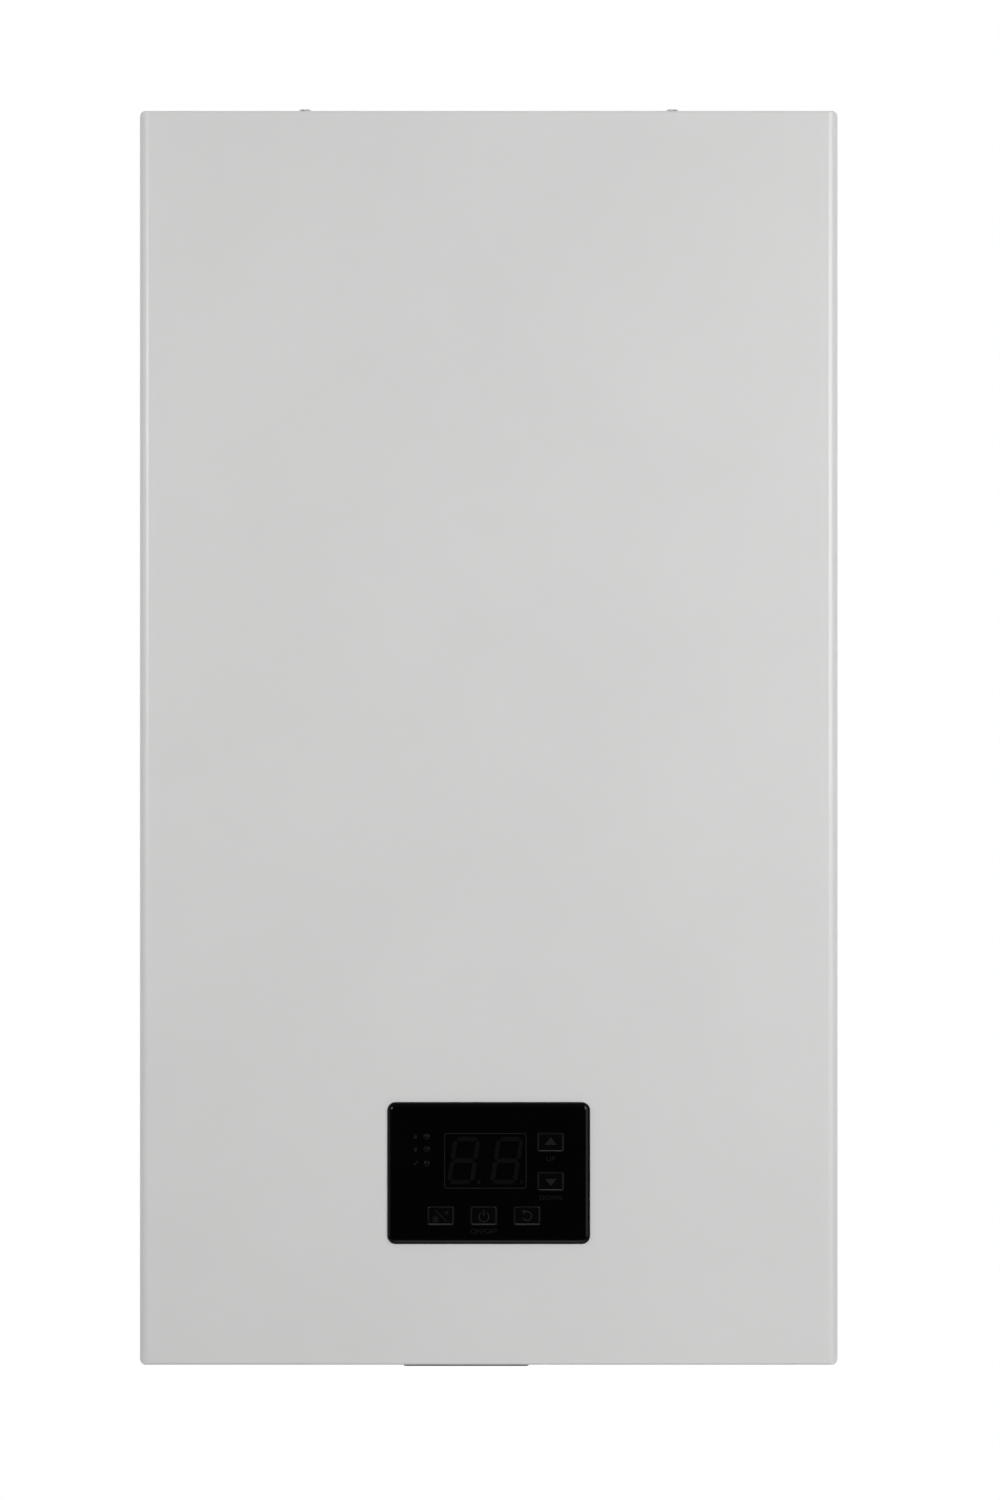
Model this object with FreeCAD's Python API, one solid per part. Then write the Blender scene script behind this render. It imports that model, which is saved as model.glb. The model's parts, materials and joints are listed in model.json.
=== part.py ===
# Wall-hung room-sealed gas boiler. Millimetres, +Z up, +X to the right seen from the front.
# The wall is the plane Y = 0 and the front of the casing faces -Y.
# The origin is the centre of the wall bracket's bolt line, on the wall.
import FreeCAD, Part
import math
import os

V = FreeCAD.Vector
X = V(1, 0, 0)
Y = V(0, 1, 0)
Z = V(0, 0, 1)

# Shared clearances
overrun = 2.0                 # how far a cutting body runs past what it cuts
clear = 0.3                   # gap between bodies that move past each other
run_fit = 0.05                # radial play of a shaft in its bush
pass_play = 0.6               # radial play of a pipe in its hole
snug = 0.05                   # radial play of a fixed pin in its hole
parallel_share = 0.99

# Casing
casing_width = 390.0
casing_height = 700.0
casing_depth = 300.0
bolts_below_top = 45.0
cover_sheet = 0.8
side_bend = 5.5               # outer bend radius of the upright edges
edge_bend = 1.5               # outer bend radius of the top and bottom edges
corner_round = 3.5            # outline corner seen from the front
cover_wall_gap = 2.0
flange_depth = 22.0
cover_lip = 11.0
cover_screw_spacing = 206.0
cover_screw_setback = 15.0
cover_screw_hole = 4.6

# Chassis
frame_sheet = 1.0
frame_gap = 1.2
top_gap = 0.3
base_recess = 40.0
back_recess = 12.0
frame_front_gap = 25.0
frame_fold = 10.0
top_front_gap = 8.0
base_lip_gap = 1.0
base_lip_rise = 5.0
tongue_width = 14.0
tongue_reach = 13.0
tongue_rise = 6.0
tongue_play = 0.6

# Wall bracket
bracket_width = 280.0
bracket_height = 40.0
bracket_sheet = 2.0
bolt_spacing = 160.0
bolt_hole = 9.0
hook_spacing = 240.0
hook_width = 30.0
hook_lip = 10.0
hook_play = 2.0
window_side_play = 4.0
window_height = 30.0

# Sealed chamber
door_front_gap = 10.4
door_depth = 8.8
door_sheet = 0.8
door_margin = 6.0
chamber_depth = 170.0
chamber_height = 397.9
chamber_sheet = 0.8
chamber_rim = 16.0
door_screw_inset = 6.0
door_screw_rows = 4
door_screw_end = 30.0
sight_hole = 24.0
sight_disc = 32.0
sight_thickness = 4.0
sight_above_floor = 55.0

# Screws
screw_diameter = 4.0
screw_head = 7.6
screw_head_height = 2.4
screw_recess = 3.2
screw_recess_depth = 1.2
screw_dome_share = 0.8
cover_screw_length = 7.0
screw_length = 12.0
nut_flats = 7.0
nut_height = 3.2

# Combustion box and its boards
combustion_width = 230.0
combustion_depth = 144.0
combustion_height = 105.0
combustion_above_floor = 64.2
combustion_sheet = 1.0
combustion_setback = 12.0
combustion_foot_front = 8.0
air_window_height = 30.0
air_window_margin = 14.0
board_thickness = 10.0

# Main exchanger
fin_count = 27
fin_pitch = 8.0
fin_thickness = 0.8
exchanger_height = 62.0
end_plate = 2.0
tube_diameter = 16.0
tube_wall = 1.0
tube_pitch = 28.0
tube_passes = 5
tube_drop = 61.0
tube_end_offset = 25.0

# Flue hood and fan
hood_height = 40.0
hood_sheet = 0.8
neck_width = 90.0
neck_depth = 28.0
neck_above_axis = 35.0
fan_radius = 48.0
fan_width = 62.0
fan_sheet = 1.0
fan_clearance = 3.0
fan_inlet = 50.0
fan_duct_rise = 50.0
fan_collar = 56.0
fan_collar_height = 6.0
fan_collar_wall = 1.0
fan_nipple = 5.0
fan_nipple_length = 9.0
fan_nipple_drop = 15.0
fan_motor_diameter = 70.0
fan_motor_length = 44.0
fan_motor_cavity = 36.0
fan_motor_wall = 5.0
fan_shaft = 8.0
fan_wheel_diameter = 80.0
fan_wheel_width = 30.0
fan_wheel_gap = 12.0
fan_wheel_hub = 22.0
fan_wheel_ring = 14.0
fan_blade = 1.2
fan_blades = 24
fan_rotor = 30.0
fan_rotor_gap = 3.0

# Flue outlet
flue_outer = 100.0
flue_bore = 60.0
flue_wall = 1.5
flue_plate = 2.0
flue_plate_diameter = 140.0
flue_bolt_circle = 120.0
flue_bolt_hole = 5.0
flue_collar_rise = 6.0
flue_socket_depth = 30.0
flue_rib = 3.0
flue_rib_height = 5.0

# Pressure switch and its hose
switch_diameter = 54.0
switch_thickness = 24.0
switch_x = -120.0
switch_above_axis = 25.0
switch_nipple = 5.0
switch_nipple_length = 12.0
switch_nipple_offset = 8.0
hose_diameter = 7.0
hose_bend = 18.0
hose_drop = 40.0
hose_side_run = 39.0

# Burner
ramp_count = 11
ramp_pitch = 19.0
ramp_width = 12.0
ramp_length = 119.0
ramp_height = 42.0
ramp_slot = 1.2
ramp_slot_depth = 6.0
ramp_slot_pitch = 9.0
ramp_inlet = 9.0
rail_thickness = 2.0
rail_height = 20.0
manifold_bar = 14.0
manifold_above_floor = 9.0
manifold_setback = 4.0
nozzle_diameter = 6.0
nozzle_gap = 2.0
electrode_body = 8.0
electrode_length = 22.0
electrode_pin = 2.0
electrode_reach = 36.0
electrode_spacing = 80.0
electrode_above_box = 9.0

# Gas train
connector_pitch = 65.0
connector_from_wall = 90.0
connector_below = 18.0
three_quarter_thread = 26.44
half_thread = 20.96
connector_bore_share = 0.72
collar_oversize = 6.0
shank_step = 1.0
lock_nut_height = 5.0
gas_pipe_diameter = 18.0
gas_wall = 1.0
gas_bend = 20.0
burner_pipe_diameter = 14.0
burner_pipe_bend = 20.0
burner_pipe_level = 45.0
gas_turn_height = 30.0
gas_valve_width = 70.0
gas_valve_depth = 70.0
gas_valve_height = 90.0
gas_valve_setback = 95.0
gas_valve_above_base = 79.0
gas_coil_diameter = 30.0
gas_coil_length = 34.0
gas_port_depth = 6.0

# Expansion vessel
vessel_diameter = 320.0
vessel_thickness = 87.0
vessel_below_bolts = 170.0
vessel_rim = 30.0
vessel_wall = 1.5
vessel_seam = 4.0
vessel_seam_width = 3.0
vessel_port = 16.0
vessel_port_length = 15.0
vessel_pipe_diameter = 10.0
vessel_pipe_bend = 18.0
vessel_pipe_drop = 55.0
vessel_pipe_lead = 2.0

# Heating pipes
water_pipe_diameter = 18.0
water_pipe_bend = 22.0
return_pipe_bend = 18.0
flow_turn_below = 34.0
return_turn_below = 40.0
return_turn_height = 25.0
water_nut_flats = 30.0
water_nut_height = 16.0

# Pump
pump_above_base = 114.0
pump_radius = 42.0
pump_depth = 60.0
pump_rear_from_wall = 85.0
pump_wall = 6.0
pump_neck = 26.0
pump_neck_rise = 13.0
pump_motor_diameter = 84.0
pump_motor_length = 76.0
pump_can = 40.0
pump_can_length = 46.0
pump_box = 44.0
pump_box_height = 30.0
pump_shaft = 10.0
pump_rotor_gap = 2.0
impeller_diameter = 56.0
impeller_width = 14.0
impeller_vanes = 6
impeller_vane = 2.0
impeller_disc = 2.5
impeller_gap = 3.0
pump_nipple = 12.0

# Water manifolds and plate exchanger
manifold_height = 38.0
manifold_depth = 56.0
manifold_above_base = 24.0
manifold_inner = 55.0
manifold_outer = 150.0
manifold_round = 8.0
manifold_bore = 14.0
plate_width = 192.0
plate_height = 74.0
plate_thickness = 40.0
plate_from_wall = 17.0
plate_round = 20.0
plate_count = 12
plate_rib = 1.2
tower_diameter = 32.0
tower_height = 82.0
pump_inlet_setback = 10.0
diverter_x = -80.0
diverter_body = 38.0
diverter_body_height = 40.0
diverter_cavity = 26.0
diverter_wall = 5.0
diverter_disc = 22.0
diverter_disc_thickness = 4.0
diverter_rod = 6.0
diverter_travel = 6.0
diverter_motor_width = 52.0
diverter_motor_height = 58.0
diverter_motor_bore_depth = 22.0

# Safety valve, vent, gauge, taps
safety_x = 75.0
safety_body = 24.0
safety_length = 36.0
safety_outlet = 18.0
safety_outlet_bore = 13.0
safety_outlet_below = 12.0
safety_stem = 8.0
safety_stem_length = 14.0
safety_knob_diameter = 30.0
safety_knob_length = 20.0
knob_grip_count = 10
knob_grip_share = 0.12
vent_x = 100.0
vent_boss = 18.0
vent_boss_rise = 8.0
vent_body = 24.0
vent_body_height = 36.0
vent_stem = 6.0
vent_stem_height = 5.0
vent_cap_diameter = 11.0
vent_cap_height = 9.0
vent_cap_roof = 2.5
gauge_x = -100.0
gauge_from_wall = 190.0
gauge_diameter = 40.0
gauge_depth = 34.0
gauge_below_base = 20.0
gauge_flange = 46.0
gauge_flange_thickness = 2.0
gauge_wall = 1.5
gauge_dial_inset = 5.0
gauge_lens_thickness = 1.5
needle_pin = 2.0
needle_hub = 5.0
needle_length = 13.0
needle_tail = 5.0
needle_width = 1.6
needle_thickness = 0.8
needle_gap = 0.8
needle_rest_angle = -120.0    # the needle rests on zero bar
filling_x = 32.5
filling_body = 18.0
filling_rise = 8.0
filling_stem = 8.0
filling_stem_length = 12.0
filling_knob_diameter = 23.0
filling_knob_length = 20.0
drain_x = 97.5
drain_body = 16.0
drain_key = 9.0
drain_key_length = 12.0
drain_below_base = 6.0

# Electrics
control_width = 140.0
control_height = 160.0
control_depth = 38.0
control_wall = 2.0
control_above_base = 14.0
control_setback = 32.0
control_lid_thickness = 4.0
board_thickness_mm = 1.6
board_margin = 5.0
board_standoff = 7.0
board_post = 6.0
relay_width = 16.0
relay_height = 13.0
relay_rows = 3
transformer_width = 42.0
transformer_height = 22.0
socket_width = 90.0
socket_height = 10.0
socket_depth = 9.0
terminal_width = 71.0
terminal_depth = 40.0
terminal_x = -13.0
terminal_setback = 60.0
terminal_below = 7.0
terminal_wall = 2.0
gland_diameter = 18.0
gland_length = 14.0
gland_bore = 8.0
gland_spacing = 21.0
gland_offset = 17.0
gland_drop = 12.0
gland_thread = 14.0

# Control panel on the cover
panel_width = 113.2
panel_height = 79.3
panel_below_top = 592.9
panel_corner = 4.7
panel_proud = 2.3
panel_rim = 2.0
panel_plate = 2.5
panel_neck_inset = 3.5
panel_wall = 2.0
panel_depth = 15.0
panel_catch = 1.2
panel_catch_width = 10.0
panel_catch_length = 3.0
window_width = 46.2
window_tall = 31.2
window_x = -1.9
window_z = 7.0
window_corner = 1.4
lens_thickness = 1.4
lens_rebate = 0.6
key_width = 14.3
key_height = 10.1
key_corner = 0.8
key_gap = 0.2
key_flange = 0.9
key_flange_thickness = 0.8
key_proud = 0.1
key_stem = 3.0
key_travel = 0.5
key_stop_gap = 0.1
key_column_x = 34.6
key_upper_z = 17.3
key_lower_z = -4.5
key_row_z = -23.7
key_season_x = -26.7
key_power_x = -2.7
key_reset_x = 21.4
lamp_x = -34.6
lamp_diameter = 3.4
lamp_top_z = 20.5
lamp_middle_z = 13.5
lamp_low_z = 5.5
display_board_thickness = 1.6
display_board_gap = 1.0
display_post = 5.0
tact_width = 6.0
tact_height = 3.4
tact_plunger = 3.2
tact_plunger_height = 0.9
digit_height = 26.5
digit_width = 15.2
digit_pitch = 24.1
digit_thickness = 2.6
digit_relief = 0.3
digit_slant_share = 0.15
digit_gap = 0.35
digit_point = 2.4
digit_point_gap = 1.4
module_margin = 0.5

# Places worked out from the sizes above
half_width = casing_width / 2
casing_top = bolts_below_top
casing_bottom = casing_top - casing_height
casing_front = -casing_depth
cover_inner_front = casing_front + cover_sheet
side_out = half_width - cover_sheet - frame_gap
side_in = side_out - frame_sheet
top_plate_top = casing_top - cover_sheet - top_gap
top_plate_low = top_plate_top - frame_sheet
base_low = casing_bottom + base_recess
base_top = base_low + frame_sheet
frame_low = casing_bottom + base_lip_rise
frame_front = casing_front + frame_front_gap
plate_back = -back_recess
plate_front = plate_back - frame_sheet
flange_back = casing_front + flange_depth
base_lip_front = flange_back + base_lip_gap
saddle = bracket_height / 2
hook_front = plate_front - hook_play - bracket_sheet

door_front = cover_inner_front + door_front_gap
chamber_front = door_front + door_depth
chamber_back = chamber_front + chamber_depth
chamber_low = top_plate_low - chamber_height
chamber_floor = chamber_low + chamber_sheet
chamber_half = side_in
door_half = chamber_half - door_margin
door_low = chamber_low + door_margin
door_high = top_plate_low - door_margin
sight_z = chamber_floor + sight_above_floor

combustion_front = chamber_front + combustion_setback
combustion_back = combustion_front + combustion_depth
combustion_half = combustion_width / 2
combustion_low = chamber_floor + combustion_above_floor
combustion_top = combustion_low + combustion_height
exchanger_top = combustion_top + exchanger_height
hood_top = exchanger_top + hood_height
tube_z = combustion_top + exchanger_height / 2
tube_middle_y = (combustion_front + combustion_back) / 2
tube_first_y = tube_middle_y + tube_pitch * (tube_passes - 1) / 2
tube_last_y = tube_middle_y - tube_pitch * (tube_passes - 1) / 2
tube_end_x = combustion_half + tube_end_offset
tube_end_z = tube_z - tube_drop

fan_x = fan_radius - fan_width / 2
fan_z = hood_top + fan_clearance + fan_radius
neck_back = combustion_back + hood_sheet * 2
neck_front = neck_back - neck_depth
fan_back = neck_front
fan_front = fan_back - fan_width
flue_y = (fan_back + fan_front) / 2
fan_duct_top = fan_z + fan_duct_rise
fan_wheel_back = fan_back - fan_wheel_gap
fan_wheel_front = fan_wheel_back - fan_wheel_width
fan_motor_front = fan_front - fan_motor_length
flue_top = top_plate_top + flue_collar_rise
nipple_z = fan_duct_top - fan_nipple_drop
switch_z = fan_z + switch_above_axis
switch_y = chamber_back - chamber_sheet - switch_thickness / 2

manifold_bar_front = chamber_front + manifold_setback
manifold_bar_back = manifold_bar_front + manifold_bar
manifold_bar_y = (manifold_bar_front + manifold_bar_back) / 2
manifold_bar_low = chamber_floor + manifold_above_floor
manifold_bar_z = manifold_bar_low + manifold_bar / 2
ramp_low = manifold_bar_z - ramp_inlet
ramp_top = ramp_low + ramp_height
ramp_back = combustion_back - combustion_sheet - board_thickness - clear
ramp_front = ramp_back - ramp_length
electrode_z = combustion_low + electrode_above_box

connector_y = -connector_from_wall
connector_low = casing_bottom - connector_below
shank_low = base_low - lock_nut_height
gas_valve_front = casing_front + gas_valve_setback
gas_valve_back = gas_valve_front + gas_valve_depth
gas_valve_y = (gas_valve_front + gas_valve_back) / 2
gas_valve_low = base_top + gas_valve_above_base
gas_valve_top = gas_valve_low + gas_valve_height

vessel_z = -vessel_below_bolts
vessel_back = plate_front
vessel_front = vessel_back - vessel_thickness
vessel_y = (vessel_back + vessel_front) / 2
vessel_port_z = vessel_z - vessel_diameter / 2 - vessel_port_length

heating_x = connector_pitch * 2
manifold_low = base_top + manifold_above_base
manifold_top = manifold_low + manifold_height
plate_back_y = -plate_from_wall
plate_front_y = plate_back_y - plate_thickness
manifold_back = plate_front_y
manifold_front = manifold_back - manifold_depth
manifold_y = (manifold_front + manifold_back) / 2
pump_z = base_top + pump_above_base
pump_back = -pump_rear_from_wall
pump_front = pump_back - pump_depth
pump_y = (pump_front + pump_back) / 2
pump_nipple_end = vessel_y - vessel_pipe_bend - vessel_pipe_lead
pump_inlet_y = pump_back - pump_neck / 2 - pump_inlet_setback / 2
pump_neck_top = pump_z + pump_radius + pump_neck_rise
pump_motor_front = pump_front - pump_motor_length
impeller_back = pump_back - pump_wall * 2
impeller_front = impeller_back - impeller_width
pump_rotor_back = pump_front - pump_wall - pump_rotor_gap
tower_top = manifold_top + tower_height
diverter_top = manifold_top + diverter_body_height
safety_z = manifold_low + manifold_height / 2
safety_front = manifold_front - safety_length
vent_low = pump_z + pump_radius + vent_boss_rise
gauge_y = -gauge_from_wall
gauge_low = base_low - gauge_below_base
filling_low = base_low - filling_rise
drain_low = base_low - drain_below_base

control_left = -side_in
control_right = control_left + control_width
control_front = casing_front + control_setback
control_back = control_front + control_depth
control_low = base_top + control_above_base
control_top = control_low + control_height
terminal_front = casing_front + terminal_setback
terminal_back = terminal_front + terminal_depth
terminal_low = casing_bottom - terminal_below
gland_z = base_low - terminal_wall - gland_diameter / 2 - gland_drop

panel_z = casing_top - panel_below_top
panel_front = casing_front - panel_proud
panel_plate_back = panel_front + panel_plate
panel_back = casing_front + panel_depth
neck_half_width = panel_width / 2 - panel_neck_inset
neck_half_height = panel_height / 2 - panel_neck_inset
display_board_front = panel_back - display_board_gap - display_board_thickness
tact_top = display_board_front - tact_height - tact_plunger_height
key_rear = tact_top - key_travel - key_stop_gap
keys = {
    "button_up": (key_column_x, key_upper_z),
    "button_down": (key_column_x, key_lower_z),
    "button_season": (key_season_x, key_row_z),
    "button_power": (key_power_x, key_row_z),
    "button_reset": (key_reset_x, key_row_z),
}
lamp_levels = (lamp_top_z, lamp_middle_z, lamp_low_z)


# Shape helpers
def block(x0, x1, y0, y1, z0, z1):
    corner = V(min(x0, x1), min(y0, y1), min(z0, z1))
    return Part.makeBox(abs(x1 - x0), abs(y1 - y0), abs(z1 - z0), corner)


def rod(start, axis, diameter, length):
    return Part.makeCylinder(diameter / 2, length, start, axis)


def ring(start, axis, outer, inner, length):
    hole = rod(start - axis * overrun, axis, inner, length + 2 * overrun)
    return rod(start, axis, outer, length).cut(hole)


def box_sheets(x0, x1, y0, y1, z0, z1, sheet):
    return {
        "floor": block(x0, x1, y0, y1, z0, z0 + sheet),
        "roof": block(x0, x1, y0, y1, z1 - sheet, z1),
        "left": block(x0, x0 + sheet, y0, y1, z0 + sheet, z1 - sheet),
        "right": block(x1 - sheet, x1, y0, y1, z0 + sheet, z1 - sheet),
        "front": block(x0 + sheet, x1 - sheet, y0, y0 + sheet, z0 + sheet, z1 - sheet),
        "back": block(x0 + sheet, x1 - sheet, y1 - sheet, y1, z0 + sheet, z1 - sheet),
    }


def edges_along(shape, axis):
    found = []
    for edge in shape.Edges:
        tangent = edge.tangentAt(edge.FirstParameter)
        if abs(tangent.dot(axis)) > parallel_share and edge.Curve.TypeId == "Part::GeomLine":
            found.append(edge)
    return found


def rounded_block(x, z, width, height, radius, y0, y1):
    body = block(x - width / 2, x + width / 2, y0, y1, z - height / 2, z + height / 2)
    return body.makeFillet(radius, edges_along(body, Y))


def side_vectors(axis):
    helper = Z if abs(axis.z) < parallel_share else X
    first = axis.cross(helper).normalize()
    return first, axis.cross(first).normalize()


def hexagon(start, axis, flats, length):
    reach = flats / math.sqrt(3)
    first, second = side_vectors(axis)
    points = []
    for turn in range(6):
        angle = turn * math.pi / 3
        points.append(start + first * (reach * math.cos(angle)) + second * (reach * math.sin(angle)))
    return Part.Face(Part.makePolygon(points + points[:1])).extrude(axis * length)


def hex_nut(start, axis, flats, bore, length):
    hole = rod(start - axis * overrun, axis, bore, length + 2 * overrun)
    return hexagon(start, axis, flats, length).cut(hole)


def path_wire(points, bend):
    edges = []
    start = points[0]
    for before, corner, after in zip(points, points[1:], points[2:]):
        coming = (corner - before).normalize()
        going = (after - corner).normalize()
        half_turn = coming.getAngle(going) / 2
        reach = bend * math.tan(half_turn)
        enter = corner - coming * reach
        leave = corner + going * reach
        inward = (going - coming).normalize()
        middle = corner + inward * (bend / math.cos(half_turn) - bend)
        if (enter - start).Length > snug:
            edges.append(Part.LineSegment(start, enter).toShape())
        edges.append(Part.Arc(enter, middle, leave).toShape())
        start = leave
    if (points[-1] - start).Length > snug:
        edges.append(Part.LineSegment(start, points[-1]).toShape())
    return Part.Wire(edges)


def pipe(points, bend, outer, wall):
    path = path_wire(points, bend)
    heading = (points[1] - points[0]).normalize()
    skin = path.makePipeShell([Part.Wire([Part.makeCircle(outer / 2, points[0], heading)])], True, False)
    bore_circle = Part.Wire([Part.makeCircle(outer / 2 - wall, points[0], heading)])
    bore = path.makePipeShell([bore_circle], True, False)
    return skin.cut(bore)


def grip_knob(start, axis, diameter, length, stem, stem_depth):
    body = rod(start, axis, diameter, length)
    first, second = side_vectors(axis)
    for turn in range(knob_grip_count):
        angle = turn * 2 * math.pi / knob_grip_count
        place = first * (diameter / 2 * math.cos(angle)) + second * (diameter / 2 * math.sin(angle))
        body = body.cut(rod(start + place + axis * (length * knob_grip_share), axis,
                            diameter * knob_grip_share, length))
    return body.cut(rod(start - axis * overrun, axis, stem + 2 * run_fit, stem_depth + overrun))


def pan_screw(under_head, axis, length):
    head = rod(under_head, -axis, screw_head, screw_head_height)
    rims = [edge for edge in head.Edges if edge.Curve.TypeId == "Part::GeomCircle"]
    top = max(rims, key=lambda edge: edge.CenterOfMass.dot(-axis))
    head = head.makeFillet(screw_head_height * screw_dome_share, [top])
    socket_start = under_head - axis * (screw_head_height + overrun)
    head = head.cut(rod(socket_start, axis, screw_recess, screw_recess_depth + overrun))
    return head.fuse(rod(under_head, axis, screw_diameter, length)).removeSplitter()


def save(name, *shapes):
    shape = shapes[0] if len(shapes) == 1 else Part.makeCompound(list(shapes))
    shape.exportStep("parts/" + name + ".step")


# Wall bracket and chassis
def wall_bracket():
    bar = block(-bracket_width / 2, bracket_width / 2, -bracket_sheet, 0, -saddle, saddle)
    for side in (-1, 1):
        middle = side * hook_spacing / 2
        left = middle - hook_width / 2
        right = middle + hook_width / 2
        leg = block(left, right, hook_front, 0, saddle - bracket_sheet, saddle)
        lip = block(left, right, hook_front, hook_front + bracket_sheet,
                    saddle - bracket_sheet, saddle + hook_lip)
        hole = rod(V(side * bolt_spacing / 2, -bracket_sheet - overrun, 0), Y,
                   bolt_hole, bracket_sheet + 2 * overrun)
        bar = bar.fuse(leg).fuse(lip).cut(hole)
    return bar.removeSplitter()


def back_panel():
    sheets = box_sheets(-side_in, side_in, plate_front, 0, base_low, top_plate_low, frame_sheet)
    plate = sheets["front"]
    for side in (-1, 1):
        middle = side * hook_spacing / 2
        half = hook_width / 2 + window_side_play
        plate = plate.cut(block(middle - half, middle + half, plate_front - overrun,
                                plate_back + overrun, saddle - window_height, saddle))
    return [plate] + [sheets[name] for name in ("floor", "roof", "left", "right")]


def side_frame(side):
    plate = block(side * side_in, side * side_out, frame_front, 0, frame_low, top_plate_low)
    fold = block(side * (side_out - frame_fold), side * side_in, frame_front,
                 frame_front + frame_sheet, base_top, chamber_low)
    return plate, fold


def top_panel():
    front = casing_front + top_front_gap
    plate = block(-side_in, side_in, front, 0, top_plate_low, top_plate_top)
    flue_hole = rod(V(0, flue_y, top_plate_low - overrun), Z, flue_outer, frame_sheet + 2 * overrun)
    plate = plate.cut(flue_hole)
    for side in (-1, 1):
        middle = side * cover_screw_spacing / 2
        screw_y = casing_front + cover_screw_setback
        plate = plate.cut(rod(V(middle, screw_y, top_plate_low - overrun), Z,
                              cover_screw_hole, frame_sheet + 2 * overrun))
        plate = plate.cut(block(middle - cover_screw_hole / 2, middle + cover_screw_hole / 2,
                                front - overrun, screw_y, top_plate_low - overrun,
                                top_plate_top + overrun))
    for place in flue_bolt_places():
        plate = plate.cut(rod(place - Z * (frame_sheet + overrun), Z, flue_bolt_hole,
                              frame_sheet + 2 * overrun))
    return plate


def flue_bolt_places():
    reach = flue_bolt_circle / 2 * math.cos(math.pi / 4)
    return [V(x * reach, flue_y + y * reach, top_plate_top) for x in (-1, 1) for y in (-1, 1)]


def base_holes():
    holes = [(place, thread + 2 * shank_step)
             for place, thread in zip(connector_places(), connector_threads())]
    holes.append((V(gauge_x, gauge_y, base_low), gauge_diameter))
    holes.append((V(filling_x, connector_y, base_low), filling_body))
    holes.append((V(drain_x, connector_y, base_low), drain_body))
    holes.append((V(safety_x, safety_front + safety_outlet, base_low), safety_outlet))
    return holes


def base_panel():
    plate = block(-side_in, side_in, base_lip_front, plate_front, base_low, base_top)
    lip = block(-side_in + frame_sheet, side_in - frame_sheet, base_lip_front,
                base_lip_front + frame_sheet, frame_low, base_low)
    for side in (-1, 1):
        middle = side * cover_screw_spacing / 2
        level = casing_bottom + tongue_rise
        lip = lip.fuse(block(middle - tongue_width / 2, middle + tongue_width / 2,
                             base_lip_front - tongue_reach, base_lip_front + frame_sheet,
                             level, level + frame_sheet))
    for place, diameter in base_holes():
        plate = plate.cut(rod(place - Z * overrun, Z, diameter + 2 * pass_play,
                              frame_sheet + 2 * overrun))
    cable_way = block(terminal_x - terminal_width / 4, terminal_x + terminal_width / 4,
                      terminal_front + terminal_depth / 4, terminal_back - terminal_depth / 4,
                      base_low - overrun, base_top + overrun)
    return plate.cut(cable_way), lip.removeSplitter()


# Sealed chamber
def door_screw_places():
    low = door_low + door_screw_end
    step = (door_high - door_low - 2 * door_screw_end) / (door_screw_rows - 1)
    reach = door_half - door_screw_inset
    return [(side * reach, low + row * step) for side in (-1, 1) for row in range(door_screw_rows)]


def chamber_casing():
    sheets = box_sheets(-chamber_half, chamber_half, chamber_front, chamber_back, chamber_low,
                        top_plate_low, chamber_sheet)
    passages = (
        (-tube_end_x, tube_last_y, water_pipe_diameter),
        (tube_end_x, tube_first_y, water_pipe_diameter),
        (0, manifold_bar_y, burner_pipe_diameter),
    )
    for x, y, diameter in passages:
        hole = rod(V(x, y, chamber_low - overrun), Z, diameter + 2 * pass_play,
                   chamber_sheet + 2 * overrun)
        sheets["floor"] = sheets["floor"].cut(hole)
    roof_holes = [rod(V(0, flue_y, top_plate_low - chamber_rim), Z, flue_outer, chamber_rim + overrun)]
    for place in flue_bolt_places():
        roof_holes.append(rod(place - Z * chamber_rim, Z, flue_bolt_hole, chamber_rim))
    sheets["roof"] = sheets["roof"].cut(roof_holes)
    return [sheets[name] for name in ("floor", "roof", "left", "right", "back")] + chamber_rims()


def chamber_rims():
    inner = chamber_half - chamber_sheet
    back = chamber_front + chamber_sheet
    low = chamber_low + chamber_rim
    high = top_plate_low - chamber_rim
    rims = [
        block(-inner, inner, chamber_front, back, chamber_floor, low),
        block(-inner, inner, chamber_front, back, high, top_plate_low - chamber_sheet),
    ]
    for side in (-1, 1):
        rims.append(block(side * (chamber_half - chamber_rim), side * inner, chamber_front, back,
                          low, high))
    holes = [rod(V(x, chamber_front - overrun, z), Y, screw_diameter + 2 * snug,
                 chamber_sheet + 2 * overrun) for x, z in door_screw_places()]
    return [rim.cut(holes) for rim in rims]


def chamber_door():
    tray = block(-door_half, door_half, door_front, chamber_front, door_low, door_high)
    tray = tray.cut(block(-door_half + door_sheet, door_half - door_sheet, door_front + door_sheet,
                          chamber_front + overrun, door_low + door_sheet, door_high - door_sheet))
    tray = tray.cut(rod(V(0, door_front - overrun, sight_z), Y, sight_hole, door_sheet + 2 * overrun))
    for x, z in door_screw_places():
        tray = tray.cut(rod(V(x, door_front - overrun, z), Y, screw_diameter + 2 * snug,
                            door_sheet + 2 * overrun))
    glass = rod(V(0, door_front + door_sheet, sight_z), Y, sight_disc, sight_thickness)
    return tray, glass


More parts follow.
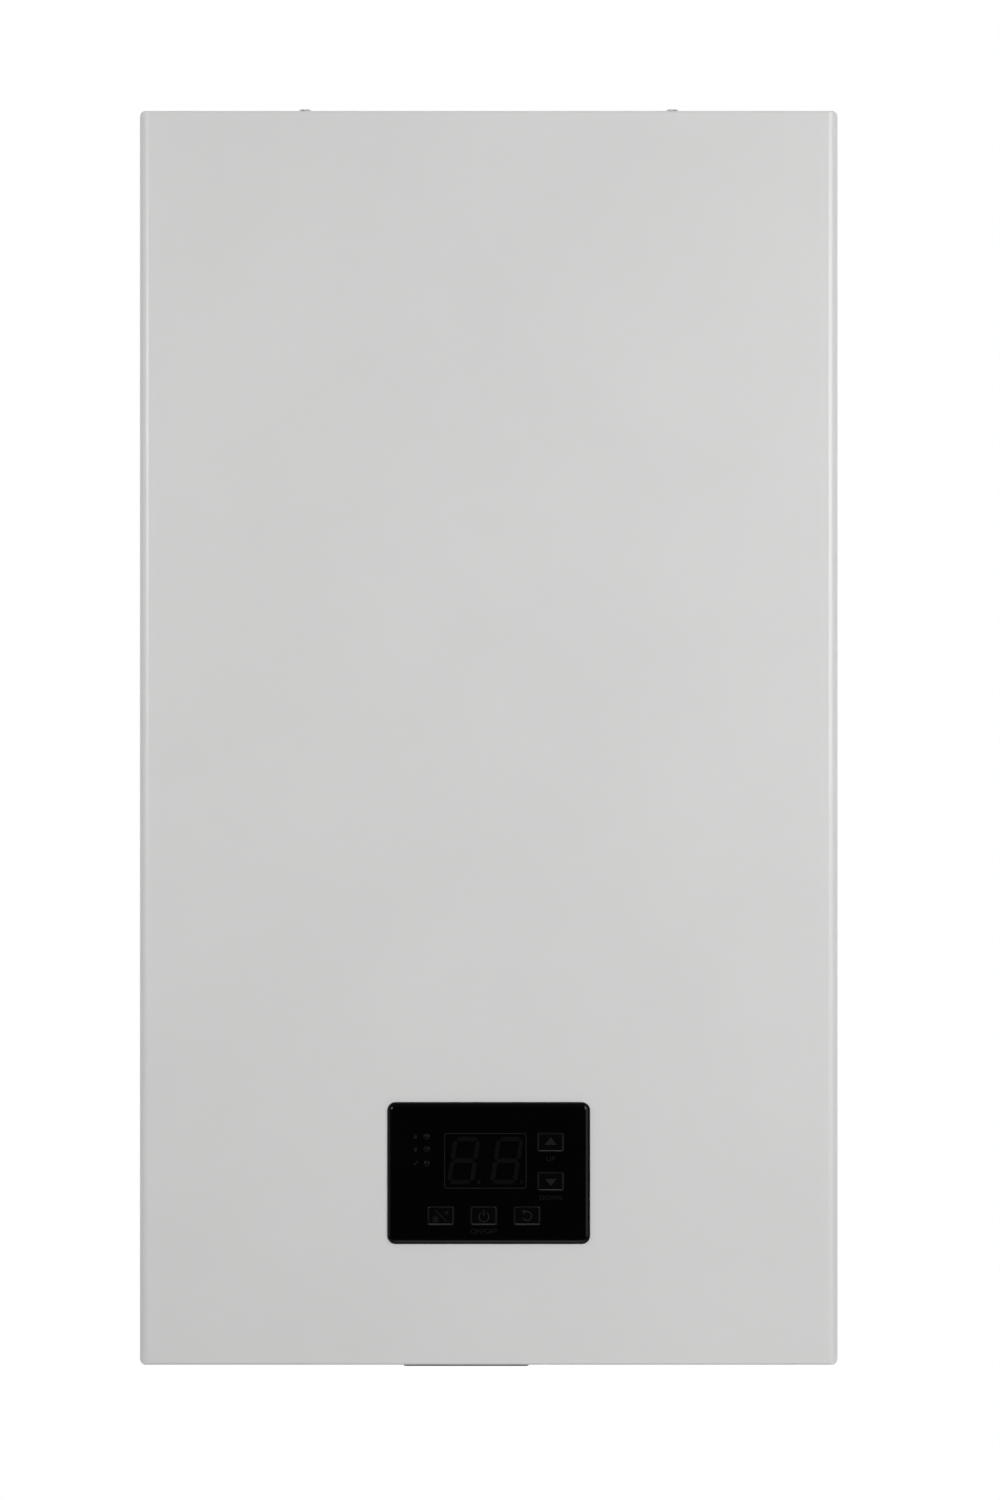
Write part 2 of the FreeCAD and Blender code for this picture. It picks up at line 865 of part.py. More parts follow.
def combustion_box():
    half = combustion_half
    inner = half - combustion_sheet
    body = block(-half, half, combustion_front, combustion_back, combustion_low, combustion_top)
    for side in (-1, 1):
        body = body.fuse(block(side * inner, side * half, combustion_front - combustion_foot_front,
                               combustion_back, chamber_floor, combustion_low))
    body = body.cut(block(-inner, inner, combustion_front + combustion_sheet,
                          combustion_back - combustion_sheet, chamber_floor - overrun,
                          combustion_top + overrun))
    body = body.cut(block(-half - overrun, half + overrun, combustion_front + air_window_margin,
                          combustion_back - air_window_margin,
                          combustion_low - air_window_height - air_window_margin / 2,
                          combustion_low - air_window_margin / 2))
    for x in (-electrode_spacing / 2, electrode_spacing / 2):
        body = body.cut(electrode_hole(x))
    return body.removeSplitter()


def electrode_hole(x):
    return rod(V(x, combustion_front - overrun, electrode_z), Y, electrode_body + 2 * snug,
               combustion_sheet + board_thickness + 2 * overrun)


def insulation_boards():
    half = combustion_half - combustion_sheet
    front = combustion_front + combustion_sheet
    back = combustion_back - combustion_sheet
    inner = half - board_thickness
    boards = [
        block(-half, half, front, front + board_thickness, combustion_low, combustion_top),
        block(-half, half, back - board_thickness, back, combustion_low, combustion_top),
    ]
    for side in (-1, 1):
        boards.append(block(side * inner, side * half, front + board_thickness,
                            back - board_thickness, combustion_low, combustion_top))
    for x in (-electrode_spacing / 2, electrode_spacing / 2):
        boards[0] = boards[0].cut(electrode_hole(x))
    return boards


# Main exchanger
def tube_lines():
    return [tube_first_y - turn * tube_pitch for turn in range(tube_passes)]


def exchanger_fins():
    def plate(left, thickness):
        body = block(left, left + thickness, combustion_front, combustion_back,
                     combustion_top, exchanger_top)
        for y in tube_lines():
            body = body.cut(rod(V(left - overrun, y, tube_z), X, tube_diameter + 2 * snug,
                                thickness + 2 * overrun))
        return body

    plates = [plate(-combustion_half, end_plate), plate(combustion_half - end_plate, end_plate)]
    first = -fin_pitch * (fin_count - 1) / 2
    for number in range(fin_count):
        plates.append(plate(first + number * fin_pitch - fin_thickness / 2, fin_thickness))
    return plates


def exchanger_tubes():
    turn_x = combustion_half + tube_pitch / 2 + clear
    points = [V(tube_end_x, tube_first_y, tube_end_z), V(tube_end_x, tube_first_y, tube_z)]
    side = -1
    lines = tube_lines()
    for y, after in zip(lines, lines[1:]):
        points.append(V(side * turn_x, y, tube_z))
        points.append(V(side * turn_x, after, tube_z))
        side = -side
    points.append(V(-tube_end_x, tube_last_y, tube_z))
    points.append(V(-tube_end_x, tube_last_y, tube_end_z))
    return pipe(points, tube_pitch / 2, tube_diameter, tube_wall)


# Flue hood, fan and flue outlet
def rectangle(x0, x1, y0, y1, z):
    corners = [V(x0, y0, z), V(x1, y0, z), V(x1, y1, z), V(x0, y1, z)]
    return Part.makePolygon(corners + corners[:1])


def hood_form(inset):
    foot = rectangle(-combustion_half + inset, combustion_half - inset, combustion_front + inset,
                     combustion_back - inset, exchanger_top)
    mouth = rectangle(fan_x - neck_width / 2 + inset, fan_x + neck_width / 2 - inset,
                      neck_front + inset, neck_back - inset, hood_top)
    return Part.makeLoft([foot, mouth], True, True)


def flue_hood():
    hood = hood_form(0).cut(hood_form(hood_sheet))
    sheets = box_sheets(fan_x - neck_width / 2, fan_x + neck_width / 2, neck_front, neck_back,
                        hood_top - hood_sheet, fan_z + neck_above_axis, hood_sheet)
    hole = rod(V(fan_x, neck_front - overrun, fan_z), Y, fan_inlet, hood_sheet + 2 * overrun)
    sheets["front"] = sheets["front"].cut(hole)
    return [hood] + [sheets[name] for name in ("front", "back", "left", "right", "roof")]


def fan_form(inset):
    drum = rod(V(fan_x, fan_front + inset, fan_z), Y, 2 * (fan_radius - inset), fan_width - 2 * inset)
    duct = block(-fan_width / 2 + inset, fan_width / 2 - inset, fan_front + inset, fan_back - inset,
                 fan_z, fan_duct_top - inset)
    return drum.fuse(duct)


def fan_housing():
    start = V(0, flue_y, fan_duct_top - fan_sheet)
    skin = fan_form(0).fuse(rod(start, Z, fan_collar, fan_collar_height + fan_sheet))
    nipple_start = V(-fan_width / 2 - fan_nipple_length, flue_y, nipple_z)
    skin = skin.fuse(rod(nipple_start, X, fan_nipple, fan_nipple_length + fan_sheet))
    hollow = fan_form(fan_sheet)
    hollow = hollow.fuse(rod(start - Z * overrun, Z, fan_collar - 2 * fan_collar_wall,
                             fan_collar_height + fan_sheet + 2 * overrun))
    hollow = hollow.fuse(rod(nipple_start - X * overrun, X, fan_nipple / 2,
                             fan_nipple_length + fan_sheet + 2 * overrun))
    housing = skin.cut(hollow)
    inlet = rod(V(fan_x, fan_back - fan_sheet - overrun, fan_z), Y, fan_inlet, fan_sheet + 2 * overrun)
    shaft_way = rod(V(fan_x, fan_front - overrun, fan_z), Y, fan_wheel_hub, fan_sheet + 2 * overrun)
    return housing.cut(inlet).cut(shaft_way)


def fan_motor():
    body = rod(V(fan_x, fan_motor_front, fan_z), Y, fan_motor_diameter, fan_motor_length)
    cavity_length = fan_motor_length - 2 * fan_motor_wall
    body = body.cut(rod(V(fan_x, fan_motor_front + fan_motor_wall, fan_z), Y,
                        fan_motor_cavity, cavity_length))
    return body.cut(rod(V(fan_x, fan_motor_front - overrun, fan_z), Y,
                        fan_shaft + 2 * run_fit, fan_motor_length + 2 * overrun))


def fan_wheel():
    shaft_front = fan_motor_front - fan_motor_wall
    wheel = rod(V(fan_x, shaft_front, fan_z), Y, fan_shaft, fan_wheel_back - shaft_front)
    wheel = wheel.fuse(rod(V(fan_x, fan_wheel_front, fan_z), Y, fan_wheel_hub, fan_wheel_width))
    wheel = wheel.fuse(rod(V(fan_x, fan_wheel_front, fan_z), Y, fan_wheel_diameter, fan_blade))
    mouth = fan_wheel_diameter - 2 * fan_wheel_ring
    wheel = wheel.fuse(ring(V(fan_x, fan_wheel_back - fan_blade, fan_z), Y,
                            fan_wheel_diameter, mouth, fan_blade))
    blade = block(fan_x - fan_blade / 2, fan_x + fan_blade / 2,
                  fan_wheel_front + fan_blade / 2, fan_wheel_back - fan_blade / 2,
                  fan_z + mouth / 2 + fan_blade, fan_z + fan_wheel_diameter / 2 - fan_blade)
    blades = []
    for number in range(fan_blades):
        turned = blade.copy()
        turned.rotate(V(fan_x, 0, fan_z), Y, number * 360 / fan_blades)
        blades.append(turned)
    rotor = rod(V(fan_x, fan_motor_front + fan_motor_wall + fan_rotor_gap, fan_z), Y, fan_rotor,
                fan_motor_length - 2 * fan_motor_wall - 2 * fan_rotor_gap)
    return wheel.multiFuse(blades + [rotor]).removeSplitter()


def flue_flange():
    collar_height = flue_top - top_plate_top
    base = rod(V(0, flue_y, top_plate_top), Z, flue_plate_diameter, flue_plate)
    base = base.fuse(rod(V(0, flue_y, top_plate_top), Z, flue_outer + 2 * flue_wall, collar_height))
    base = base.cut(rod(V(0, flue_y, top_plate_top - overrun), Z, flue_outer,
                        collar_height + 2 * overrun))
    for place in flue_bolt_places():
        base = base.cut(rod(place - Z * overrun, Z, flue_bolt_hole, flue_plate + 2 * overrun))
    arms = []
    for turn in range(3):
        arm = block(0, flue_outer, flue_y - flue_rib / 2, flue_y + flue_rib / 2,
                    top_plate_top, top_plate_top + flue_rib_height)
        arm.rotate(V(0, flue_y, 0), Z, 90 + turn * 120)
        arms.append(arm)
    within = rod(V(0, flue_y, top_plate_top), Z, flue_outer, collar_height)
    socket_low = V(0, flue_y, flue_top - flue_socket_depth)
    socket = rod(socket_low, Z, flue_bore + 2 * flue_wall, flue_socket_depth)
    socket = socket.multiFuse([arm.common(within) for arm in arms])
    socket = socket.cut(rod(socket_low - Z * overrun, Z, fan_collar + 2 * clear,
                            flue_socket_depth + 2 * overrun))
    stop = fan_duct_top + fan_collar_height + clear
    socket = socket.cut(rod(V(0, flue_y, stop), Z, flue_bore, flue_top - stop + overrun))
    return base.removeSplitter(), socket.removeSplitter()


def pressure_switch():
    body = rod(V(switch_x, switch_y - switch_thickness / 2, switch_z), Y, switch_diameter,
               switch_thickness)
    for x in (-switch_nipple_offset, switch_nipple_offset):
        start = V(switch_x + x, switch_y, switch_z - switch_diameter / 2 - switch_nipple_length)
        body = body.fuse(rod(start, Z, switch_nipple, switch_nipple_length * 2))
    return body.removeSplitter()


def pressure_hose():
    top = switch_z - switch_diameter / 2 - switch_nipple_length / 4
    x = switch_x + switch_nipple_offset
    low = top - hose_drop - switch_nipple_length
    side_x = -fan_width / 2 - fan_nipple_length / 2 - hose_side_run
    points = [
        V(x, switch_y, top),
        V(x, switch_y, low),
        V(side_x, (switch_y + flue_y) / 2, low),
        V(side_x, flue_y, nipple_z),
        V(-fan_width / 2 - fan_nipple_length / 4, flue_y, nipple_z),
    ]
    return pipe(points, hose_bend, hose_diameter, (hose_diameter - fan_nipple) / 2 - snug)


# Burner
def burner_ramps():
    parts = []
    first = -ramp_pitch * (ramp_count - 1) / 2
    slots = int(ramp_length / ramp_slot_pitch) - 1
    for number in range(ramp_count):
        x = first + number * ramp_pitch
        ramp = block(x - ramp_width / 2, x + ramp_width / 2, ramp_front, ramp_back, ramp_low, ramp_top)
        ramp = ramp.cut(rod(V(x, ramp_front - overrun, manifold_bar_z), Y, ramp_inlet,
                            ramp_length / 2))
        for slot in range(slots):
            y = ramp_front + (slot + 1) * ramp_slot_pitch
            ramp = ramp.cut(block(x - ramp_width / 2 - overrun, x + ramp_width / 2 + overrun,
                                  y - ramp_slot / 2, y + ramp_slot / 2,
                                  ramp_top - ramp_slot_depth, ramp_top + overrun))
        parts.append(ramp)
    reach = combustion_half - combustion_sheet
    for y in (ramp_front - rail_thickness, ramp_back):
        parts.append(block(-reach, reach, y, y + rail_thickness, ramp_top - rail_height, ramp_top))
    return parts


def gas_manifold():
    reach = combustion_half - combustion_sheet
    bar = block(-reach, reach, manifold_bar_front, manifold_bar_back,
                manifold_bar_low, manifold_bar_low + manifold_bar)
    first = -ramp_pitch * (ramp_count - 1) / 2
    nozzle_length = ramp_front - nozzle_gap - manifold_bar_back
    for number in range(ramp_count):
        x = first + number * ramp_pitch
        bar = bar.fuse(rod(V(x, manifold_bar_back, manifold_bar_z), Y, nozzle_diameter, nozzle_length))
    bore = rod(V(0, manifold_bar_y, manifold_bar_low - overrun), Z,
               burner_pipe_diameter - 2 * gas_wall, manifold_bar / 2 + overrun)
    return bar.cut(bore).removeSplitter()


def electrodes():
    parts = []
    for x in (-electrode_spacing / 2, electrode_spacing / 2):
        start = V(x, combustion_front - electrode_length / 2, electrode_z)
        parts.append(rod(start, Y, electrode_body, electrode_length))
        parts.append(rod(start + Y * electrode_length, Y, electrode_pin, electrode_reach))
    return parts


# Gas train
def connector_places():
    return [V(step * connector_pitch, connector_y, base_low) for step in (-2, -1, 0, 1, 2)]


def connector_threads():
    return [three_quarter_thread, half_thread, three_quarter_thread, half_thread, three_quarter_thread]


def threaded_stub(x, thread, top):
    start = V(x, connector_y, connector_low)
    stub = rod(start, Z, thread, top - connector_low)
    stub = stub.fuse(rod(V(x, connector_y, shank_low), Z, thread + 2 * shank_step, base_top - shank_low))
    collar = rod(V(x, connector_y, base_top), Z, thread + collar_oversize, top - base_top)
    return stub.fuse(collar)


def stub_bore(x, thread, top):
    start = V(x, connector_y, connector_low - overrun)
    return rod(start, Z, thread * connector_bore_share, top - connector_low + overrun)


def gas_inlet_pipe():
    shoulder = base_top + manifold_above_base / 2
    stub = threaded_stub(0, three_quarter_thread, shoulder).cut(
        stub_bore(0, three_quarter_thread, shoulder + overrun))
    turn_z = shoulder + gas_turn_height
    points = [V(0, connector_y, shoulder - overrun), V(0, connector_y, turn_z),
              V(0, gas_valve_y, turn_z), V(0, gas_valve_y, gas_valve_low)]
    body = pipe(points, gas_bend, gas_pipe_diameter, gas_wall)
    seat = rod(V(0, connector_y, shoulder - overrun), Z, three_quarter_thread, overrun)
    seat = seat.cut(rod(V(0, connector_y, shoulder - 2 * overrun), Z,
                        gas_pipe_diameter - gas_wall, 3 * overrun))
    return body.fuse(stub).fuse(seat).removeSplitter()


def gas_valve():
    half = gas_valve_width / 2
    body = block(-half, half, gas_valve_front, gas_valve_back, gas_valve_low, gas_valve_top)
    body = body.makeFillet(gas_port_depth, edges_along(body, Z))
    for level in (gas_valve_low, gas_valve_top - gas_port_depth):
        start = V(0, gas_valve_y, level)
        body = body.cut(rod(start - Z * overrun, Z, gas_pipe_diameter - 2 * gas_wall,
                            gas_port_depth + 2 * overrun))
    coils = []
    for x in (-half / 2, half / 2):
        start = V(x, gas_valve_front - gas_coil_length, gas_valve_top - gas_coil_diameter)
        coils.append(rod(start, Y, gas_coil_diameter, gas_coil_length))
    return [body] + coils


def gas_pipe():
    level = gas_valve_top + burner_pipe_level
    points = [V(0, gas_valve_y, gas_valve_top), V(0, gas_valve_y, level),
              V(0, manifold_bar_y, level), V(0, manifold_bar_y, manifold_bar_low)]
    return pipe(points, burner_pipe_bend, burner_pipe_diameter, gas_wall)


# Expansion vessel
def vessel_form(inset):
    body = rod(V(0, vessel_front + inset, vessel_z), Y, vessel_diameter - 2 * inset,
               vessel_thickness - 2 * inset)
    rims = [edge for edge in body.Edges if edge.Curve.TypeId == "Part::GeomCircle"]
    return body.makeFillet(vessel_rim - inset, rims)


def expansion_vessel():
    skin = vessel_form(0)
    skin = skin.fuse(rod(V(0, vessel_y - vessel_seam_width / 2, vessel_z), Y,
                         vessel_diameter + 2 * vessel_seam, vessel_seam_width))
    port = V(0, vessel_y, vessel_port_z)
    port_rise = vessel_port_length + vessel_wall * 2
    skin = skin.fuse(rod(port, Z, vessel_port, port_rise))
    body = skin.cut(vessel_form(vessel_wall))
    bore = rod(port - Z * overrun, Z, vessel_pipe_diameter - 2 * gas_wall, port_rise + 2 * overrun)
    return body.cut(bore).removeSplitter()


def vessel_pipe():
    level = vessel_port_z - vessel_pipe_drop
    points = [V(0, vessel_y, vessel_port_z), V(0, vessel_y, level), V(heating_x, vessel_y, level),
              V(heating_x, vessel_y, pump_z), V(heating_x, pump_nipple_end, pump_z)]
    return pipe(points, vessel_pipe_bend, vessel_pipe_diameter, gas_wall)


# Heating pipes
def flow_pipe():
    level = chamber_low - flow_turn_below
    points = [V(-tube_end_x, tube_last_y, tube_end_z), V(-tube_end_x, tube_last_y, level),
              V(-heating_x, manifold_y, level - flow_turn_below / 3),
              V(-heating_x, manifold_y, tower_top)]
    return pipe(points, water_pipe_bend, water_pipe_diameter, gas_wall)


def return_pipe():
    level = chamber_low - return_turn_below
    points = [V(tube_end_x, tube_first_y, tube_end_z), V(tube_end_x, tube_first_y, level),
              V(heating_x, pump_y, level - return_turn_height), V(heating_x, pump_y, pump_neck_top)]
    return pipe(points, return_pipe_bend, water_pipe_diameter, gas_wall)


# Pump
def pump_housing():
    body = rod(V(heating_x, pump_front, pump_z), Y, 2 * pump_radius, pump_depth)
    neck = rod(V(heating_x, pump_y, pump_z), Z, pump_neck, pump_neck_top - pump_z)
    inlet = rod(V(heating_x, pump_inlet_y, manifold_top), Z, pump_neck, pump_z - manifold_top)
    boss = rod(V(vent_x, pump_y, pump_z), Z, vent_boss, vent_low - pump_z)
    nipple = rod(V(heating_x, pump_back, pump_z), Y, pump_nipple, pump_nipple_end - pump_back)
    body = body.fuse(neck).fuse(inlet).fuse(boss).fuse(nipple)
    chamber_depth_here = impeller_width + 2 * impeller_gap
    chamber = rod(V(heating_x, impeller_front - impeller_gap, pump_z), Y,
                  2 * (pump_radius - pump_wall), chamber_depth_here)
    way = rod(V(heating_x, pump_front - overrun, pump_z), Y, pump_can - pump_wall,
              impeller_front - pump_front + overrun)
    bore = water_pipe_diameter - 2 * gas_wall
    up = rod(V(heating_x, pump_y, pump_z), Z, bore, pump_neck_top - pump_z + overrun)
    down = rod(V(heating_x, pump_inlet_y, manifold_top - overrun), Z, bore,
               pump_z - manifold_top + overrun)
    back = rod(V(heating_x, impeller_back, pump_z), Y, vessel_pipe_diameter - 2 * gas_wall,
               pump_nipple_end - impeller_back + overrun)
    return body.cut(chamber).cut(way).cut(up).cut(down).cut(back).removeSplitter()


def pump_motor():
    body = rod(V(heating_x, pump_motor_front, pump_z), Y, pump_motor_diameter, pump_motor_length)
    case = block(heating_x - pump_box / 2, heating_x + pump_box / 2,
                 pump_motor_front + pump_wall, pump_front - pump_wall * 2,
                 pump_z, pump_z + pump_motor_diameter / 2 + pump_box_height / 3)
    body = body.fuse(case)
    can = rod(V(heating_x, pump_rotor_back - pump_can_length, pump_z), Y, pump_can, pump_can_length)
    bore = rod(V(heating_x, pump_rotor_back - pump_can_length - pump_wall, pump_z), Y,
               pump_shaft + 2 * run_fit, pump_can_length + pump_wall * 3 + overrun)
    return body.cut(can).cut(bore).removeSplitter()


def pump_rotor():
    shaft_front = pump_rotor_back - pump_can_length - pump_wall + clear
    shaft = rod(V(heating_x, shaft_front, pump_z), Y, pump_shaft, impeller_back - shaft_front)
    magnet = rod(V(heating_x, pump_rotor_back - pump_can_length + pump_rotor_gap, pump_z), Y,
                 pump_can - 2 * pump_rotor_gap, pump_can_length - 2 * pump_rotor_gap)
    front_disc = rod(V(heating_x, impeller_front, pump_z), Y, impeller_diameter, impeller_disc)
    back_disc = ring(V(heating_x, impeller_back - impeller_disc, pump_z), Y, impeller_diameter,
                     impeller_diameter / 2, impeller_disc)
    vanes = []
    vane = block(heating_x + pump_shaft / 2 - overrun, heating_x + impeller_diameter / 2 - clear,
                 impeller_front, impeller_back, pump_z - impeller_vane / 2, pump_z + impeller_vane / 2)
    for number in range(impeller_vanes):
        turned = vane.copy()
        turned.rotate(V(heating_x, 0, pump_z), Y, number * 360 / impeller_vanes)
        vanes.append(turned)
    return shaft.multiFuse([magnet, front_disc, back_disc] + vanes).removeSplitter()


# Water manifolds and plate exchanger
def manifold_block(side):
    body = block(side * manifold_inner, side * manifold_outer, manifold_front, manifold_back,
                 manifold_low, manifold_top)
    body = body.makeFillet(manifold_round, edges_along(body, X))
    for x, thread in ((connector_pitch, half_thread), (heating_x, three_quarter_thread)):
        body = body.fuse(threaded_stub(side * x, thread, manifold_low + manifold_round))
    for x, thread in ((connector_pitch, half_thread), (heating_x, three_quarter_thread)):
        body = body.cut(stub_bore(side * x, thread, manifold_low + manifold_round))
    return body


def return_manifold():
    body = manifold_block(1)
    arm = rod(V(filling_x, connector_y, safety_z), X, manifold_bore, manifold_inner - filling_x + overrun)
    tap = rod(V(filling_x, connector_y, filling_low), Z, filling_body,
              safety_z + manifold_bore / 2 - filling_low)
    stem = rod(V(filling_x, connector_y, filling_low - filling_stem_length), Z, filling_stem,
               filling_stem_length)
    drain = rod(V(drain_x, connector_y, drain_low), Z, drain_body, manifold_low - drain_low + overrun)
    body = body.fuse(arm).fuse(tap).fuse(stem).fuse(drain)
    key_bore = rod(V(drain_x, connector_y, drain_low - overrun), Z, drain_key + 2 * run_fit,
                   drain_key_length + overrun)
    pump_way = rod(V(heating_x, pump_inlet_y, manifold_top - manifold_height / 2), Z,
                   water_pipe_diameter - 2 * gas_wall, manifold_height / 2 + overrun)
    return body.cut(key_bore).cut(pump_way).removeSplitter()


def flow_manifold():
    body = manifold_block(-1)
    tower = rod(V(-heating_x, manifold_y, manifold_top - overrun), Z, tower_diameter,
                tower_height + overrun)
    valve = rod(V(diverter_x, manifold_y, manifold_top - overrun), Z, diverter_body,
                diverter_body_height + overrun)
    body = body.fuse(tower).fuse(valve)
    tower_bore = rod(V(-heating_x, manifold_y, manifold_top), Z,
                     water_pipe_diameter - 2 * gas_wall, tower_height + overrun)
    cavity = rod(V(diverter_x, manifold_y, manifold_top), Z, diverter_cavity,
                 diverter_body_height - diverter_wall)
    rod_way = rod(V(diverter_x, manifold_y, manifold_top), Z, diverter_rod + 2 * run_fit,
                  diverter_body_height + overrun)
    return body.cut(tower_bore).cut(cavity).cut(rod_way).removeSplitter()


def plate_exchanger():
    middle_z = manifold_low + plate_height / 2
    core = rounded_block(0, middle_z, plate_width - 2 * plate_rib, plate_height - 2 * plate_rib,
                         plate_round - plate_rib, plate_front_y, plate_back_y)
    plates = []
    step = plate_thickness / (2 * plate_count - 1)
    for number in range(plate_count):
        y = plate_front_y + 2 * number * step
        plates.append(rounded_block(0, middle_z, plate_width, plate_height, plate_round, y, y + step))
    return core.multiFuse(plates).removeSplitter()


def plate_strap():
    low = manifold_low + plate_height
    return block(-plate_round, plate_round, plate_front_y, plate_front, low, low + frame_sheet)


def diverter_motor():
    half = diverter_motor_width / 2
    body = block(diverter_x - half, diverter_x + half, manifold_y - half, manifold_y + half,
                 diverter_top, diverter_top + diverter_motor_height)
    body = body.makeFillet(diverter_wall, edges_along(body, Z))
    bore = rod(V(diverter_x, manifold_y, diverter_top - overrun), Z,
               diverter_rod + 2 * run_fit, diverter_motor_bore_depth + overrun)
    return body.cut(bore)


def diverter_spindle():
    disc_low = manifold_top + clear
    stem = rod(V(diverter_x, manifold_y, disc_low), Z, diverter_rod,
               diverter_top + diverter_motor_bore_depth - diverter_travel - clear - disc_low)
    disc = rod(V(diverter_x, manifold_y, disc_low), Z, diverter_disc, diverter_disc_thickness)
    return stem.fuse(disc).removeSplitter()


# Safety valve, air vent, pressure gauge and taps
def safety_valve():
    body = rod(V(safety_x, safety_front, safety_z), Y, safety_body, safety_length)
    outlet_y = safety_front + safety_outlet
    outlet_low = base_low - safety_outlet_below
    body = body.fuse(rod(V(safety_x, outlet_y, outlet_low), Z, safety_outlet, safety_z - outlet_low))
    body = body.fuse(rod(V(safety_x, safety_front - safety_stem_length, safety_z), Y, safety_stem,
                         safety_stem_length))
    bore = rod(V(safety_x, outlet_y, outlet_low - overrun), Z, safety_outlet_bore,
               safety_z - outlet_low + overrun)
    return body.cut(bore).removeSplitter()


def safety_knob():
    start = V(safety_x, safety_front - clear, safety_z)
    return grip_knob(start, -Y, safety_knob_diameter, safety_knob_length, safety_stem, safety_stem_length)


def air_vent():
    body = rod(V(vent_x, pump_y, vent_low), Z, vent_body, vent_body_height)
    return body.fuse(rod(V(vent_x, pump_y, vent_low + vent_body_height), Z, vent_stem,
                         vent_stem_height)).removeSplitter()


def vent_cap():
    start = V(vent_x, pump_y, vent_low + vent_body_height + clear)
    return grip_knob(start, Z, vent_cap_diameter, vent_cap_height, vent_stem,
                     vent_cap_height - vent_cap_roof)


def gauge_case():
    centre = V(gauge_x, gauge_y, gauge_low)
    body = rod(centre, Z, gauge_diameter, gauge_depth)
    body = body.fuse(rod(V(gauge_x, gauge_y, base_low - gauge_flange_thickness), Z, gauge_flange,
                         gauge_flange_thickness))
    body = body.cut(rod(centre - Z * overrun, Z, gauge_diameter - 2 * gauge_wall,
                        gauge_dial_inset + overrun))
    pin_top = gauge_low + gauge_dial_inset
    body = body.fuse(rod(V(gauge_x, gauge_y, needle_low() - needle_gap / 2), Z, needle_pin,
                         pin_top - needle_low() + needle_gap / 2))
    lens = rod(centre, Z, gauge_diameter - 2 * gauge_wall, gauge_lens_thickness)
    return body.removeSplitter(), lens


def needle_low():
    return gauge_low + gauge_dial_inset - needle_gap - needle_thickness


def gauge_needle():
    low = needle_low()
    hub = rod(V(gauge_x, gauge_y, low), Z, needle_hub, needle_thickness)
    pointer = block(gauge_x - needle_width / 2, gauge_x + needle_width / 2, gauge_y - needle_length,
                    gauge_y + needle_tail, low, low + needle_thickness)
    pointer.rotate(V(gauge_x, gauge_y, 0), Z, needle_rest_angle)
    hole = rod(V(gauge_x, gauge_y, low - overrun), Z, needle_pin + 2 * run_fit,
               needle_thickness + 2 * overrun)
    return hub.fuse(pointer).cut(hole).removeSplitter()


def filling_knob():
    start = V(filling_x, connector_y, filling_low - clear)
    return grip_knob(start, -Z, filling_knob_diameter, filling_knob_length, filling_stem,
                     filling_stem_length)


def drain_cock():
    top = drain_low + drain_key_length - clear
    key = rod(V(drain_x, connector_y, drain_low - drain_key), Z, drain_key,
              top - drain_low + drain_key)
    return key.cut(block(drain_x - drain_body, drain_x + drain_body, connector_y - overrun / 2,
                         connector_y + overrun / 2, drain_low - drain_key - overrun,
                         drain_low - drain_key / 2))


# Electrics
def control_box():
    box = block(control_left, control_right, control_front, control_back, control_low, control_top)
    box = box.cut(block(control_left + control_wall, control_right - control_wall,
                        control_front - overrun, control_back - control_wall,
                        control_low + control_wall, control_top - control_wall))
    for x, z in board_posts():
        box = box.fuse(rod(V(x, control_back - control_wall - board_standoff, z), Y, board_post,
                           board_standoff + control_wall / 2))
    return box.removeSplitter()


def board_posts():
    reach = control_wall + board_margin + board_post / 2
    return [(x, z) for x in (control_left + reach, control_right - reach)
            for z in (control_low + reach, control_top - reach)]


def control_lid():
    lid = block(control_left, control_right, control_front - control_lid_thickness, control_front,
                control_low, control_top)
    front = [edge for edge in lid.Edges
             if abs(edge.CenterOfMass.y - (control_front - control_lid_thickness)) < snug]
    return lid.makeChamfer(control_lid_thickness / 4, front)


def main_board():
    margin = control_wall + board_margin / 2
    back = control_back - control_wall - board_standoff
    front = back - board_thickness_mm
    parts = [block(control_left + margin, control_right - margin, front, back,
                   control_low + margin, control_top - margin)]
    left = control_left + margin + board_margin
    for row in range(relay_rows):
        low = control_low + margin + board_margin * 3 + row * (relay_width + board_margin)
        parts.append(block(left, left + relay_width, front - relay_height, front, low, low + relay_width))
    right = control_right - margin - board_margin
    low = control_low + margin + board_margin * 3
    parts.append(block(right - transformer_width, right, front - transformer_height, front,
                       low, low + transformer_width))
    high = control_top - margin - board_margin
    middle = (control_left + control_right) / 2
    parts.append(block(middle - socket_width / 2, middle + socket_width / 2, front - socket_depth,
                       front, high - socket_height, high))
    return parts


def gland_places():
    return [(terminal_x - gland_offset, gland_z + side * gland_spacing / 2) for side in (-1, 1)]


